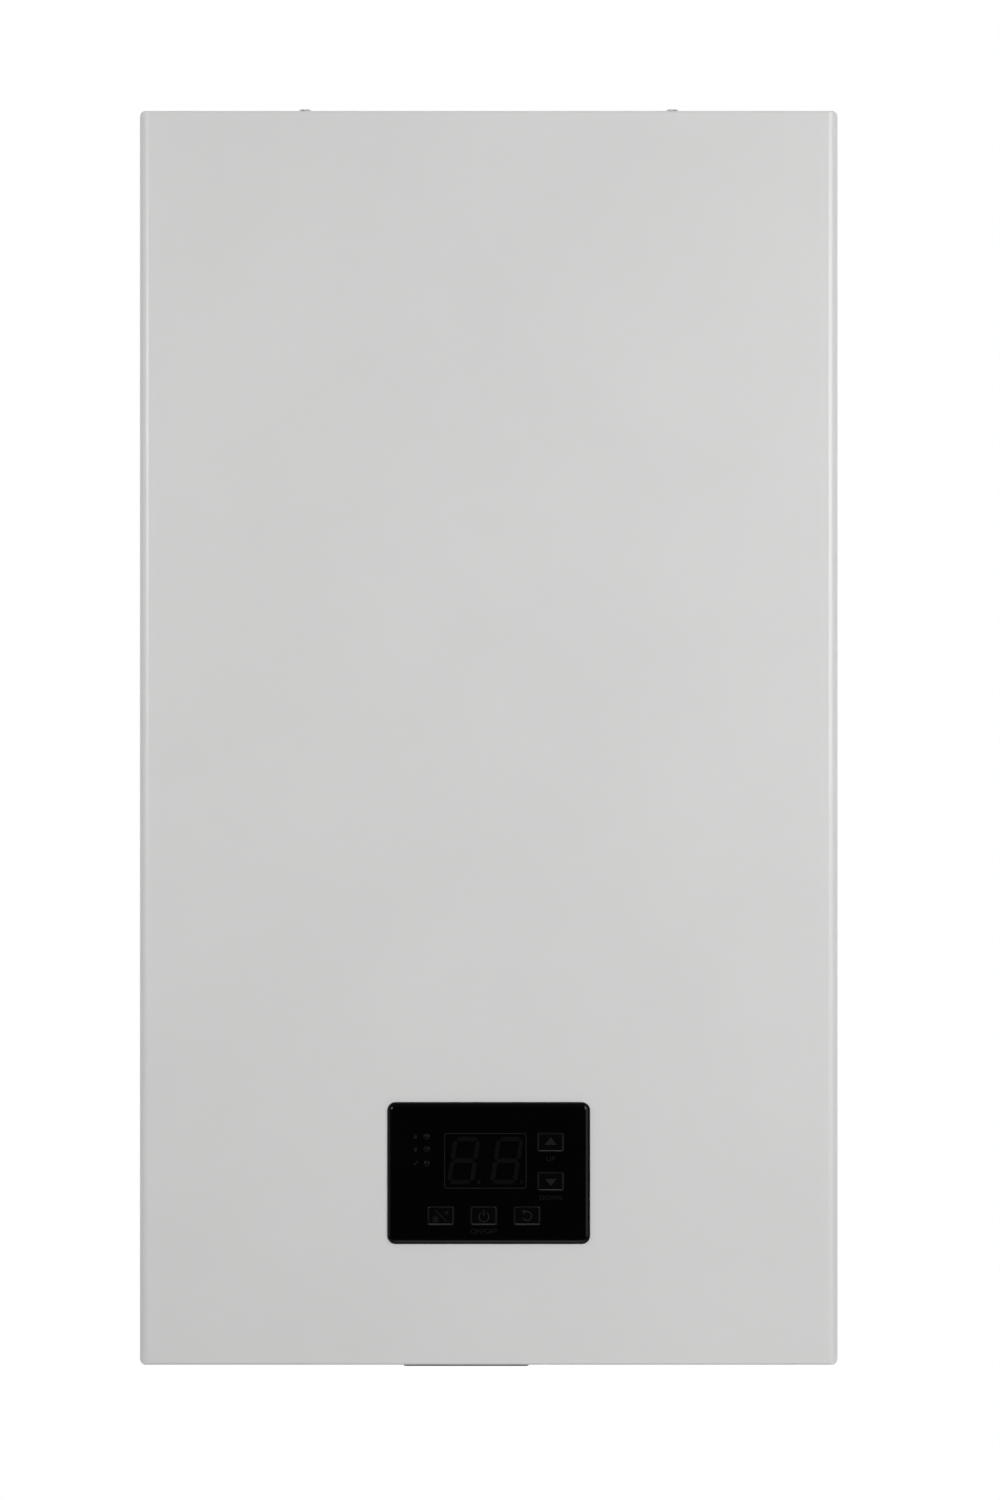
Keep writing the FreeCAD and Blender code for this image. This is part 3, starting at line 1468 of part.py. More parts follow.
def terminal_box():
    left = terminal_x - terminal_width / 2
    right = terminal_x + terminal_width / 2
    box = block(left, right, terminal_front, terminal_back, terminal_low, base_low)
    box = box.makeFillet(terminal_wall, edges_along(box, Z))
    box = box.cut(block(left + terminal_wall, right - terminal_wall, terminal_front + terminal_wall,
                        terminal_back - terminal_wall, terminal_low + terminal_wall,
                        base_low - terminal_wall))
    box = box.cut(block(terminal_x - terminal_width / 4, terminal_x + terminal_width / 4,
                        terminal_front + terminal_depth / 4, terminal_back - terminal_depth / 4,
                        base_low - terminal_wall - overrun, base_low + overrun))
    parts = []
    for x, z in gland_places():
        start = V(x, terminal_back - terminal_wall - overrun, z)
        box = box.cut(rod(start, Y, gland_thread, terminal_wall + 2 * overrun))
        gland = hexagon(V(x, terminal_back, z), Y, gland_diameter, gland_length / 3)
        gland = gland.fuse(rod(V(x, terminal_back, z), Y, gland_thread, gland_length))
        gland = gland.fuse(rod(V(x, terminal_back - terminal_wall, z), Y,
                               gland_thread - 2 * snug, terminal_wall))
        bore = rod(start, Y, gland_bore, gland_length + terminal_wall + 2 * overrun)
        parts.append(gland.cut(bore).removeSplitter())
    return [box] + parts


# Fasteners that hold the chamber door and the pipes
def fasteners():
    parts = [pan_screw(V(x, door_front, z), Y, screw_length) for x, z in door_screw_places()]
    bore = water_pipe_diameter + 2 * snug
    half = water_nut_height / 2
    nut_places = (
        V(-tube_end_x, tube_last_y, tube_end_z - half),
        V(tube_end_x, tube_first_y, tube_end_z - half),
        V(-heating_x, manifold_y, tower_top),
        V(heating_x, pump_y, pump_neck_top),
        V(0, gas_valve_y, gas_valve_low - water_nut_height),
    )
    for place in nut_places:
        parts.append(hex_nut(place, Z, water_nut_flats, bore, water_nut_height))
    parts.append(hex_nut(V(0, gas_valve_y, gas_valve_top), Z, water_nut_flats,
                         burner_pipe_diameter + 2 * snug, water_nut_height))
    for place, thread in zip(connector_places(), connector_threads()):
        parts.append(hex_nut(place - Z * lock_nut_height, Z, thread + collar_oversize,
                             thread + 2 * shank_step + 2 * snug, lock_nut_height))
    return parts


# Cover with its screws
def cover_form(inset):
    def blank():
        return block(-half_width + inset, half_width - inset, casing_front + inset,
                     -cover_wall_gap + (overrun if inset else 0),
                     casing_bottom + inset, casing_top - inset)

    def front_edges(shape, axis):
        front = casing_front + inset
        return [edge for edge in edges_along(shape, axis) if abs(edge.CenterOfMass.y - front) < snug]

    upright = blank()
    level = blank()
    outline = blank()
    upright = upright.makeFillet(side_bend - inset, front_edges(upright, Z))
    level = level.makeFillet(edge_bend - inset, front_edges(level, X))
    outline = outline.makeFillet(corner_round - inset, edges_along(outline, Y))
    return upright.common(level).common(outline)


def front_cover():
    cover = cover_form(0).cut(cover_form(cover_sheet))
    inner = half_width - cover_sheet
    cover = cover.cut(block(-inner, inner, flange_back, overrun,
                            casing_bottom - overrun, casing_top + overrun))
    lip = block(-inner + corner_round, inner - corner_round, flange_back - cover_sheet, flange_back,
                casing_bottom, casing_bottom + cover_lip)
    for side in (-1, 1):
        middle = side * cover_screw_spacing / 2
        half = tongue_width / 2 + tongue_play
        level = casing_bottom + tongue_rise
        lip = lip.cut(block(middle - half, middle + half, flange_back - cover_sheet - overrun,
                            flange_back + overrun, level - tongue_play,
                            level + frame_sheet + tongue_play))
    cover = cover.fuse(lip)
    cut_out = rounded_block(0, panel_z, 2 * neck_half_width + 2 * snug, 2 * neck_half_height + 2 * snug,
                            panel_corner, casing_front - overrun, cover_inner_front + overrun)
    cover = cover.cut(cut_out)
    for side in (-1, 1):
        cover = cover.cut(rod(V(side * cover_screw_spacing / 2, casing_front + cover_screw_setback,
                                casing_top - cover_sheet - overrun), Z, screw_diameter + 2 * snug,
                              cover_sheet + 2 * overrun))
    return cover.removeSplitter()


def cover_screws():
    parts = []
    for side in (-1, 1):
        x = side * cover_screw_spacing / 2
        y = casing_front + cover_screw_setback
        parts.append(pan_screw(V(x, y, casing_top), -Z, cover_screw_length))
        nut_top = top_plate_low - top_gap
        parts.append(hex_nut(V(x, y, nut_top - nut_height), Z, nut_flats,
                             screw_diameter + 2 * snug, nut_height))
    return parts


# Control panel
def display_bezel():
    face = rounded_block(0, panel_z, panel_width, panel_height, panel_corner,
                         panel_front, casing_front)
    rim = [edge for edge in face.Edges
           if abs(edge.CenterOfMass.y - panel_front) < snug and edge.BoundBox.YLength < snug]
    face = face.makeFillet(panel_rim, rim)
    neck = rounded_block(0, panel_z, 2 * neck_half_width, 2 * neck_half_height, panel_corner,
                         casing_front, panel_back)
    hollow = rounded_block(0, panel_z, 2 * (neck_half_width - panel_wall),
                           2 * (neck_half_height - panel_wall), panel_corner - panel_wall,
                           panel_plate_back, panel_back + overrun)
    body = face.fuse(neck).cut(hollow)
    for side in (-1, 1):
        for height in (-1, 1):
            z = panel_z + height * neck_half_height
            x = side * neck_half_width / 2
            body = body.fuse(block(x - panel_catch_width / 2, x + panel_catch_width / 2,
                                   cover_inner_front, cover_inner_front + panel_catch_length,
                                   z - height * panel_wall / 2, z + height * panel_catch))
    body = body.cut(rounded_block(window_x, panel_z + window_z, window_width - 2 * lens_rebate,
                                  window_tall - 2 * lens_rebate, window_corner,
                                  panel_front - overrun, panel_plate_back + overrun))
    body = body.cut(rounded_block(window_x, panel_z + window_z, window_width, window_tall,
                                  window_corner, panel_front - overrun, panel_front + lens_thickness))
    for x, z in keys.values():
        body = body.cut(rounded_block(x, panel_z + z, key_width, key_height, key_corner,
                                      panel_front - overrun, panel_plate_back + overrun))
    for level in lamp_levels:
        body = body.cut(rod(V(lamp_x, panel_front - overrun, panel_z + level), Y,
                            lamp_diameter + 2 * snug, panel_plate + 2 * overrun))
    for x, z in display_posts():
        body = body.fuse(rod(V(x, panel_plate_back - panel_plate / 2, z), Y, display_post,
                             display_board_front - panel_plate_back + panel_plate / 2))
    return body.removeSplitter()


def display_posts():
    x = neck_half_width - panel_wall - display_post / 2
    z = neck_half_height - panel_wall - display_post / 2
    return [(side * x, panel_z + height * z) for side in (-1, 1) for height in (-1, 1)]


def display_lens():
    return rounded_block(window_x, panel_z + window_z, window_width - 2 * snug, window_tall - 2 * snug,
                         window_corner, panel_front, panel_front + lens_thickness)


def display_board():
    x = neck_half_width - panel_wall - snug
    z = neck_half_height - panel_wall - snug
    board = rounded_block(0, panel_z, 2 * x, 2 * z, panel_corner - panel_wall,
                          display_board_front, display_board_front + display_board_thickness)
    parts = [board]
    for key_x, key_z in keys.values():
        half = tact_width / 2
        switch = block(key_x - half, key_x + half, display_board_front - tact_height,
                       display_board_front, panel_z + key_z - half, panel_z + key_z + half)
        parts.append(switch.fuse(rod(V(key_x, tact_top, panel_z + key_z), Y, tact_plunger,
                                     tact_plunger_height)).removeSplitter())
    width = window_width - 2 * lens_rebate - 2 * module_margin
    height = window_tall - 2 * lens_rebate - 2 * module_margin
    parts.append(rounded_block(window_x, panel_z + window_z, width, height, module_margin,
                               panel_plate_back, display_board_front))
    for level in lamp_levels:
        parts.append(rod(V(lamp_x, panel_front + key_proud, panel_z + level), Y, lamp_diameter,
                         display_board_front - panel_front - key_proud))
    return parts


def digit_bar(centre_x, centre_z, length, upright):
    half = digit_thickness / 2
    reach = length / 2 - digit_gap
    if upright:
        outline = [(0, -reach), (half, -reach + half), (half, reach - half), (0, reach),
                   (-half, reach - half), (-half, -reach + half)]
    else:
        outline = [(-reach, 0), (-reach + half, half), (reach - half, half), (reach, 0),
                   (reach - half, -half), (-reach + half, -half)]
    points = []
    for x, z in outline:
        level = centre_z + z
        points.append(V(centre_x + x + level * digit_slant_share, 0, level))
    return Part.Face(Part.makePolygon(points + points[:1])).extrude(Y * digit_relief)


def display_digits():
    parts = []
    arm = digit_width - digit_thickness
    limb = (digit_height - digit_thickness) / 2
    place = V(window_x, panel_plate_back - digit_relief, panel_z + window_z)
    for side in (-1, 1):
        middle = side * digit_pitch / 2
        bars = [(middle, level, arm, False) for level in (-limb, 0, limb)]
        bars += [(middle + reach, level, limb, True)
                 for reach in (-arm / 2, arm / 2) for level in (-limb / 2, limb / 2)]
        for x, z, length, upright in bars:
            parts.append(digit_bar(x, z, length, upright))
        dot_x = (middle + digit_width / 2 + digit_point_gap + digit_point / 2
                 - limb * digit_slant_share)
        parts.append(rod(V(dot_x, 0, -limb), Y, digit_point, digit_relief))
    for part in parts:
        part.translate(place)
    return parts


def key(x, z):
    z = panel_z + z
    cap = rounded_block(x, z, key_width - 2 * key_gap, key_height - 2 * key_gap, key_corner - key_gap,
                        panel_front - key_proud, panel_plate_back + clear)
    flange = rounded_block(x, z, key_width + 2 * key_flange, key_height + 2 * key_flange, key_corner,
                           panel_plate_back + clear, panel_plate_back + clear + key_flange_thickness)
    stem = rod(V(x, panel_plate_back, z), Y, key_stem, key_rear - panel_plate_back)
    return cap.fuse(flange).fuse(stem).removeSplitter()


def main():
    os.makedirs("parts", exist_ok=True)
    save("wall_bracket", wall_bracket())
    save("back_panel", *back_panel(), plate_strap())
    save("side_frames", *side_frame(-1), *side_frame(1))
    save("top_panel", top_panel())
    save("base_panel", *base_panel())
    save("chamber_casing", *chamber_casing())
    save("chamber_door", *chamber_door())
    save("combustion_box", combustion_box())
    save("insulation_boards", *insulation_boards())
    save("exchanger_fins", *exchanger_fins())
    save("exchanger_tubes", exchanger_tubes())
    save("flue_hood", *flue_hood())
    save("fan_housing", fan_housing())
    save("fan_motor", fan_motor())
    save("fan_wheel", fan_wheel())
    save("flue_flange", *flue_flange())
    save("pressure_switch", pressure_switch())
    save("pressure_hose", pressure_hose())
    save("burner_ramps", *burner_ramps())
    save("gas_manifold", gas_manifold())
    save("electrodes", *electrodes())
    save("gas_inlet_pipe", gas_inlet_pipe())
    save("gas_valve", *gas_valve())
    save("gas_pipe", gas_pipe())
    save("expansion_vessel", expansion_vessel())
    save("vessel_pipe", vessel_pipe())
    save("flow_pipe", flow_pipe())
    save("return_pipe", return_pipe())
    save("pump_housing", pump_housing())
    save("pump_motor", pump_motor())
    save("pump_rotor", pump_rotor())
    save("return_manifold", return_manifold())
    save("flow_manifold", flow_manifold())
    save("plate_exchanger", plate_exchanger())
    save("diverter_motor", diverter_motor())
    save("diverter_spindle", diverter_spindle())
    save("safety_valve", safety_valve())
    save("safety_knob", safety_knob())
    save("air_vent", air_vent())
    save("vent_cap", vent_cap())
    save("gauge_case", *gauge_case())
    save("gauge_needle", gauge_needle())
    save("filling_knob", filling_knob())
    save("drain_cock", drain_cock())
    save("control_box", control_box())
    save("control_lid", control_lid())
    save("main_board", *main_board())
    save("terminal_box", *terminal_box())
    save("fasteners", *fasteners())
    save("front_cover", front_cover())
    save("cover_screws", *cover_screws())
    save("display_bezel", display_bezel())
    save("display_lens", display_lens())
    save("display_board", *display_board())
    save("display_digits", *display_digits())
    for name, place in keys.items():
        save(name, key(*place))


main()
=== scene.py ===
import json
import math

import bmesh
import bpy
from mathutils import Matrix, Vector


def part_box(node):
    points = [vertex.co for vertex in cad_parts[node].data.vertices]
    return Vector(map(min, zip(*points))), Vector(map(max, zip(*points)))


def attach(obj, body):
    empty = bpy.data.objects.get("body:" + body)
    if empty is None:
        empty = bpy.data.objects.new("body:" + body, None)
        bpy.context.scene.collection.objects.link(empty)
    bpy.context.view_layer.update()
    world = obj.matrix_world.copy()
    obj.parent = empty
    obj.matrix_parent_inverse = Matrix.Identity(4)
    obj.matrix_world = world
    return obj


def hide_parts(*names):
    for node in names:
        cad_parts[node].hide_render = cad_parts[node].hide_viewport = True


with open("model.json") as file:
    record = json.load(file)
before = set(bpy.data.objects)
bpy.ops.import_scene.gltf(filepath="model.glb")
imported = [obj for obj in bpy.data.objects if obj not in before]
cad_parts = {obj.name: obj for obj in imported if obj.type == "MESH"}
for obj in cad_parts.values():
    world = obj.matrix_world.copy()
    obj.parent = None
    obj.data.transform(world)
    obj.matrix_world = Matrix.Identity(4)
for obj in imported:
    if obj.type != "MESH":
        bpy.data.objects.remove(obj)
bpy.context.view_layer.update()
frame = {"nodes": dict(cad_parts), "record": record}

mm = 0.001
AHEAD = Vector((0, -1, 0))
UP = Vector((0, 0, 1))

# Points nearer than weld become one, and faces turned to the front or rear by flat_share stay flat
weld = 0.0005 * mm
flat_share = 0.99999
# Radius at which a turned face ends round its axis
middle_flat = 0.3 * mm

colours = {row["slot"]: row["base_color"] for row in frame["record"]["materials"]}
slot_of = {part["node"]: part["material_slot"] for part in frame["record"]["subparts"]}
body_of = {member: body for body, members in frame["record"]["behaviour"]["bodies"].items()
           for member in members}


# Shader nodes
def linear(colour):
    """Shares of sRGB as linear light."""
    return [c / 12.92 if c <= 0.04045 else ((c + 0.055) / 1.055) ** 2.4 for c in colour[:3]]


def node(tree, kind, inputs=None, **settings):
    made = tree.nodes.new("ShaderNode" + kind)
    for name, value in settings.items():
        setattr(made, name, value)
    for name, value in (inputs or {}).items():
        if isinstance(value, bpy.types.NodeSocket):
            tree.links.new(value, made.inputs[name])
        else:
            made.inputs[name].default_value = value
    return made


def place_in(tree, stretch=(1, 1, 1)):
    """The point in the piece's own space, in metres, drawn out along its axes."""
    point = node(tree, "TexCoord").outputs["Object"]
    return node(tree, "Mapping", {"Vector": point, "Scale": stretch}).outputs["Vector"]


def noise(tree, size, detail=3.0, stretch=(1, 1, 1)):
    made = node(tree, "TexNoise", {"Vector": place_in(tree, stretch), "Scale": 1 / size,
                                   "Detail": detail})
    return made.outputs["Fac"]


def between(tree, share, low, high, start=0.3, end=0.7):
    """A number that runs from low to high as share runs from start to end."""
    made = node(tree, "MapRange", {"Value": share, "From Min": start, "From Max": end,
                                   "To Min": low, "To Max": high})
    return made.outputs["Result"]


def shades(tree, share, stops):
    """A colour ramp with stops of (position, linear colour)."""
    made = node(tree, "ValToRGB", {"Fac": share})
    ramp = made.color_ramp
    while len(ramp.elements) < len(stops):
        ramp.elements.new(1.0)
    for element, (position, colour) in zip(ramp.elements, stops):
        element.position = position
        element.color = (*colour, 1)
    return made.outputs["Color"]


def bump(tree, height, depth, below=None):
    inputs = {"Height": height, "Distance": depth, "Strength": 1.0}
    if below:
        inputs["Normal"] = below
    return node(tree, "Bump", inputs).outputs["Normal"]


def scaled(colour, share):
    return [min(1.0, c * share) for c in colour]


def finish(name, rough, metal=0.0, mottle=0.05, mottle_size=40 * mm, grain_size=0.9 * mm,
           grain_depth=0.01 * mm, stretch=(1, 1, 1), rough_play=0.05, colour=None, **fixed):
    """A surface with slow mottling, a fine grain in relief and uneven gloss."""
    material = bpy.data.materials.new(name)
    material.use_nodes = True
    tree = material.node_tree
    shader = tree.nodes["Principled BSDF"]
    base = linear(colour or colours[name])
    slow = noise(tree, mottle_size, 4.0, stretch)
    stops = [(0.3, scaled(base, 1 - mottle)), (0.7, scaled(base, 1 + mottle))]
    tree.links.new(shades(tree, slow, stops), shader.inputs["Base Color"])
    fine = noise(tree, grain_size, 2.0, stretch)
    patches = noise(tree, mottle_size / 3, 5.0, stretch)
    uneven = between(tree, patches, rough - rough_play, rough + rough_play)
    tree.links.new(uneven, shader.inputs["Roughness"])
    tree.links.new(bump(tree, fine, grain_depth), shader.inputs["Normal"])
    shader.inputs["Metallic"].default_value = metal
    for socket, value in fixed.items():
        shader.inputs[socket.replace("_", " ")].default_value = value
    return material


def spangled(name, rough, cell=7 * mm, contrast=0.08):
    """Zinc crystals: each cell of the sheet has its own grey and its own gloss."""
    material = finish(name, rough, 0.85, 0.03, 60 * mm, 0.5 * mm, 0.004 * mm)
    tree = material.node_tree
    shader = tree.nodes["Principled BSDF"]
    base = linear(colours[name])
    cells = node(tree, "TexVoronoi", {"Vector": place_in(tree), "Scale": 1 / cell})
    value = node(tree, "SeparateColor", {"Color": cells.outputs["Color"]}).outputs["Red"]
    stops = [(0.0, scaled(base, 1 - contrast)), (0.5, base), (1.0, scaled(base, 1 + contrast))]
    tree.links.new(shades(tree, value, stops), shader.inputs["Base Color"])
    gloss = between(tree, value, rough - 0.04, rough + 0.05, 0.0, 1.0)
    tree.links.new(gloss, shader.inputs["Roughness"])
    return material


def powder_coat(name):
    """Textured powder paint: orange peel over slow waves of the sheet."""
    material = finish(name, 0.33, 0.0, 0.012, 90 * mm, 1.3 * mm, 0.035 * mm, rough_play=0.03,
                      colour=(0.81, 0.81, 0.808))
    tree = material.node_tree
    shader = tree.nodes["Principled BSDF"]
    peel = bump(tree, noise(tree, 1.6 * mm, 2.0), 0.03 * mm)
    dust = bump(tree, noise(tree, 0.35 * mm, 1.0), 0.006 * mm, peel)
    tree.links.new(dust, shader.inputs["Normal"])
    return material


def smoked(name):
    """Dark see-through plastic with a polished face."""
    material = finish(name, 0.06, 0.0, 0.1, 20 * mm, 3 * mm, 0.002 * mm, rough_play=0.01,
                      colour=(0.012, 0.012, 0.013), Specular_IOR_Level=0.3)
    shader = material.node_tree.nodes["Principled BSDF"]
    shader.inputs["Alpha"].default_value = colours[name][3]
    return material


# Roughness, metal share, mottling, then the size of the mottling and the size and depth of the grain
# in millimetres, and the stretch of both
surfaces = {
    "stainless": (0.3, 1.0, 0.05, 30, 0.25, 0.004, (1, 12, 12)),
    "aluminised": (0.4, 0.8, 0.08, 18, 0.6, 0.006),
    "screw_steel": (0.3, 1.0, 0.08, 6, 0.2, 0.003),
    "brass": (0.36, 1.0, 0.1, 12, 0.5, 0.012),
    "copper": (0.32, 1.0, 0.18, 25, 0.8, 0.005, (1, 1, 0.4)),
    "pump_iron": (0.6, 0.0, 0.2, 10, 1.1, 0.12),
    "motor_paint": (0.42, 0.0, 0.08, 15, 0.7, 0.02),
    "vessel_red": (0.28, 0.0, 0.06, 50, 2.2, 0.05),
    "fibre_board": (0.95, 0.0, 0.08, 6, 0.5, 0.2, (1, 1, 0.2)),
    "white_ceramic": (0.55, 0.0, 0.03, 10, 0.3, 0.01),
    "grey_plastic": (0.5, 0.0, 0.04, 25, 0.35, 0.012),
    "dark_plastic": (0.5, 0.0, 0.12, 25, 0.35, 0.014),
    "circuit_green": (0.35, 0.0, 0.2, 5, 0.9, 0.03),
    "hose_silicone": (0.45, 0.0, 0.05, 20, 0.5, 0.01),
    "red_plastic": (0.33, 0.0, 0.06, 15, 0.4, 0.01),
    "blue_plastic": (0.33, 0.0, 0.06, 15, 0.4, 0.01),
    "cast_aluminium": (0.45, 0.9, 0.08, 12, 0.7, 0.05),
}
finishes = {
    "cover_paint": powder_coat("cover_paint"),
    "zinc_steel": spangled("zinc_steel", 0.42),
    "black_gloss": finish("black_gloss", 0.12, 0.0, 0.1, 30 * mm, 4 * mm, 0.002 * mm,
                          rough_play=0.02, Specular_IOR_Level=0.1),
    "lens_smoke": smoked("lens_smoke"),
    "key_black": finish("key_black", 0.14, 0.0, 0.1, 10 * mm, 3 * mm, 0.002 * mm,
                        rough_play=0.02, Specular_IOR_Level=0.5),
    "digit_grey": finish("digit_grey", 0.6, 0.0, 0.1, 4 * mm, 0.3 * mm, 0.004 * mm,
                         colour=(0.24, 0.24, 0.24)),
}
for name, (rough, metal, mottle, size, grain, depth, *stretch) in surfaces.items():
    finishes[name] = finish(name, rough, metal, mottle, size * mm, grain * mm, depth * mm, *stretch)

for name, slot in slot_of.items():
    mesh = frame["nodes"][name].data
    if not mesh.materials:
        mesh.materials.append(None)
    for index in range(len(mesh.materials)):
        mesh.materials[index] = finishes[slot]

casing_low, casing_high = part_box("front_cover")


# Mesh helpers
def V(x, y, z):
    return Vector((x, y, z))


def linked(name, data):
    """A new object in the scene."""
    made = bpy.data.objects.new(name, data)
    bpy.context.scene.collection.objects.link(made)
    return made


def rounded(width, height, radius, steps=8):
    """Points of a rectangle with round corners, centred on zero."""
    points = []
    for quarter, (right, up) in enumerate([(1, 1), (-1, 1), (-1, -1), (1, -1)]):
        for step in range(steps + 1):
            angle = math.pi / 2 * (quarter + step / steps)
            points.append((right * (width / 2 - radius) + radius * math.cos(angle),
                           up * (height / 2 - radius) + radius * math.sin(angle)))
    return points


def rectangle(x, y):
    return [(-x, -y), (x, -y), (x, y), (-x, y)]


def circle(radius, steps=36):
    return [(radius * math.cos(2 * math.pi * i / steps), radius * math.sin(2 * math.pi * i / steps))
            for i in range(steps)]


def facing(outline, centre, y):
    """An outline drawn on the front of the boiler: x to the right and z up."""
    return [V(centre[0] + x, y, centre[1] + z) for x, z in outline]


def skin(bm, rings):
    """Joins loops of equal count, one after the other, and returns their vertices."""
    loops = [[bm.verts.new(point) for point in ring] for ring in rings]
    for near, far in zip(loops, loops[1:]):
        for i in range(len(near)):
            j = (i + 1) % len(near)
            bm.faces.new((near[i], near[j], far[j], far[i]))
    return loops


def fill(bm, loops):
    """A flat face inside the first loop; the other loops are holes in it."""
    if len(loops) == 1:
        bm.faces.new(loops[0])
        return
    edges = []
    for loop in loops:
        for start, end in zip(loop, loop[1:] + loop[:1]):
            edges.append(bm.edges.get((start, end)) or bm.edges.new((start, end)))
    bmesh.ops.triangle_fill(bm, use_beauty=True, edges=edges)


def prism(bm, rings):
    """A form through loops of equal count, with a flat face at each end."""
    loops = skin(bm, rings)
    fill(bm, loops[:1])
    fill(bm, loops[-1:])


def sleeve(bm, rings):
    """A form with a hole through it: its last loop is joined to the first."""
    skin(bm, rings + rings[:1])
    bmesh.ops.remove_doubles(bm, verts=bm.verts, dist=weld)


def plate(bm, edge, holes=()):
    """A flat part: rings from its rear face round the edge to its front face, and from the
    front face to the rear in each hole."""
    outer = skin(bm, edge)
    inner = [skin(bm, rings) for rings in holes]
    fill(bm, [outer[-1]] + [loops[0] for loops in inner])
    fill(bm, [outer[0]] + [loops[-1] for loops in inner])


def turned(bm, profile, centre, axis, steps=48):
    """A lathe form: profile points are (radius, distance along the axis)."""
    side = axis.orthogonal().normalized()
    other = axis.cross(side)
    rings = []
    for radius, along in profile:
        middle = centre + axis * along
        rings.append([middle + side * x + other * y for x, y in circle(radius, steps)])
    prism(bm, rings)


def hex_nut(bm, centre, axis, flats, height, bore, steps=72):
    """A nut with the round chamfer of its corners, top and bottom."""
    side = axis.orthogonal().normalized()
    other = axis.cross(side)
    land = flats / 2 * 0.97
    lead = 0.6 * mm
    chamfer = math.tan(math.radians(30))

    def ring(radius_of, level_of):
        points = []
        for i in range(steps):
            angle = 2 * math.pi * i / steps
            radius = radius_of(angle)
            points.append(centre + axis * level_of(radius)
                          + (side * math.cos(angle) + other * math.sin(angle)) * radius)
        return points

    def corner(angle):
        return flats / 2 / math.cos((angle + math.pi / 6) % (math.pi / 3) - math.pi / 6)

    def drop(radius):
        return (radius - land) * chamfer

    def level(radius, along):
        return ring(lambda angle: radius, lambda reach: along)

    sleeve(bm, [level(land, 0), ring(corner, drop), ring(corner, lambda reach: height - drop(reach)),
                level(land, height), level(bore / 2 + lead, height), level(bore / 2, height - lead),
                level(bore / 2, lead), level(bore / 2 + lead, 0)])


def piece(name, bm, body, slot, *replaced, angle=32, bevel=0, look=None):
    """A modelled piece that rides on a body and stands for the CAD nodes named."""
    bmesh.ops.recalc_face_normals(bm, faces=bm.faces)
    mesh = bpy.data.meshes.new(name)
    bm.to_mesh(mesh)
    bm.free()
    mesh.shade_smooth()
    mesh.set_sharp_from_angle(angle=math.radians(angle))
    for polygon in mesh.polygons:
        polygon.use_smooth = abs(polygon.normal.y) < flat_share
    mesh.materials.append(look or finishes[slot])
    made = linked(name, mesh)
    if bevel:
        edges = made.modifiers.new("edges", "BEVEL")
        edges.width = bevel
        edges.segments = 2
        edges.limit_method = "ANGLE"
        edges.angle_limit = math.radians(angle)
        edges.harden_normals = True
    else:
        shading = made.modifiers.new("shading", "WEIGHTED_NORMAL")
        shading.keep_sharp = True
    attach(made, body)
    if replaced:
        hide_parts(*replaced)
    return made


def cad_mesh(name):
    """A node's mesh with its faces joined, as a bmesh."""
    bm = bmesh.new()
    bm.from_mesh(frame["nodes"][name].data)
    bmesh.ops.remove_doubles(bm, verts=bm.verts, dist=0.002 * mm)
    bmesh.ops.dissolve_limit(bm, angle_limit=math.radians(0.4), verts=bm.verts, edges=bm.edges)
    return bm


def islands(name):
    """The (low, high) box of each loose piece in a CAD node, always in the same order."""
    bm = cad_mesh(name)
    boxes = []
    waiting = set(bm.verts)
    while waiting:
        group = [waiting.pop()]
        for vertex in group:
            for edge in vertex.link_edges:
                other = edge.other_vert(vertex)
                if other in waiting:
                    waiting.remove(other)
                    group.append(other)
        axes = list(zip(*(vertex.co for vertex in group)))
        boxes.append((V(*map(min, axes)), V(*map(max, axes))))
    bm.free()
    return sorted(boxes, key=lambda box: (*box[0], *box[1]))


def dressed(name, bevel):
    """A copy of a CAD node with its edges broken as on the made part."""
    piece(name + "_dressed", cad_mesh(name), body_of[name], slot_of[name], name, bevel=bevel)


def carved(bm, tools):
    """The mesh less the tools, as a new bmesh."""
    made = []
    for source in [bm, *tools]:
        bmesh.ops.recalc_face_normals(source, faces=source.faces)
        mesh = bpy.data.meshes.new("carving")
        source.to_mesh(mesh)
        source.free()
        made.append(linked("carving", mesh))
    for tool in made[1:]:
        cut = made[0].modifiers.new("cut", "BOOLEAN")
        cut.operation = "DIFFERENCE"
        cut.solver = "EXACT"
        cut.object = tool
    graph = bpy.context.evaluated_depsgraph_get()
    result = bmesh.new()
    result.from_mesh(made[0].evaluated_get(graph).to_mesh())
    for old in made:
        mesh = old.data
        bpy.data.objects.remove(old)
        bpy.data.meshes.remove(mesh)
    return result


# Sizes of the front panel that the boxes of its nodes don't give
panel_corner = 4.7 * mm
rim_width = 4.6 * mm
rim_steps = 9
neck_inset = 3.5 * mm
plate_depth = 0.2 * mm
face_search = 0.05 * mm
face_overlap = 0.15 * mm
least_corner = 0.1 * mm
window_corner = 1.4 * mm
window_play = 0.05 * mm
lens_rebate = 0.6 * mm
lens_edge = 0.04 * mm
lens_edge_reach = 0.06 * mm
key_flange = 0.9 * mm
key_flange_gap = 0.1 * mm
key_flange_thickness = 0.8 * mm
key_stem = 1.5 * mm
key_gap = 0.2 * mm
key_corner = 0.8 * mm
key_set_back = 0.03 * mm
key_edge = 0.35 * mm
key_edge_reach = 0.3 * mm
key_edge_slope = 0.5 * mm
hole_lead = 0.04 * mm
print_and_glint_thickness = 0.01 * mm
# Width and gap of the painted highlight lines round the window and the key holes
window_line = 0.45 * mm
window_line_gap = -0.55 * mm
key_line = 0.2 * mm
word_height = 2.75 * mm
lamp_symbol_place = 6.3 * mm

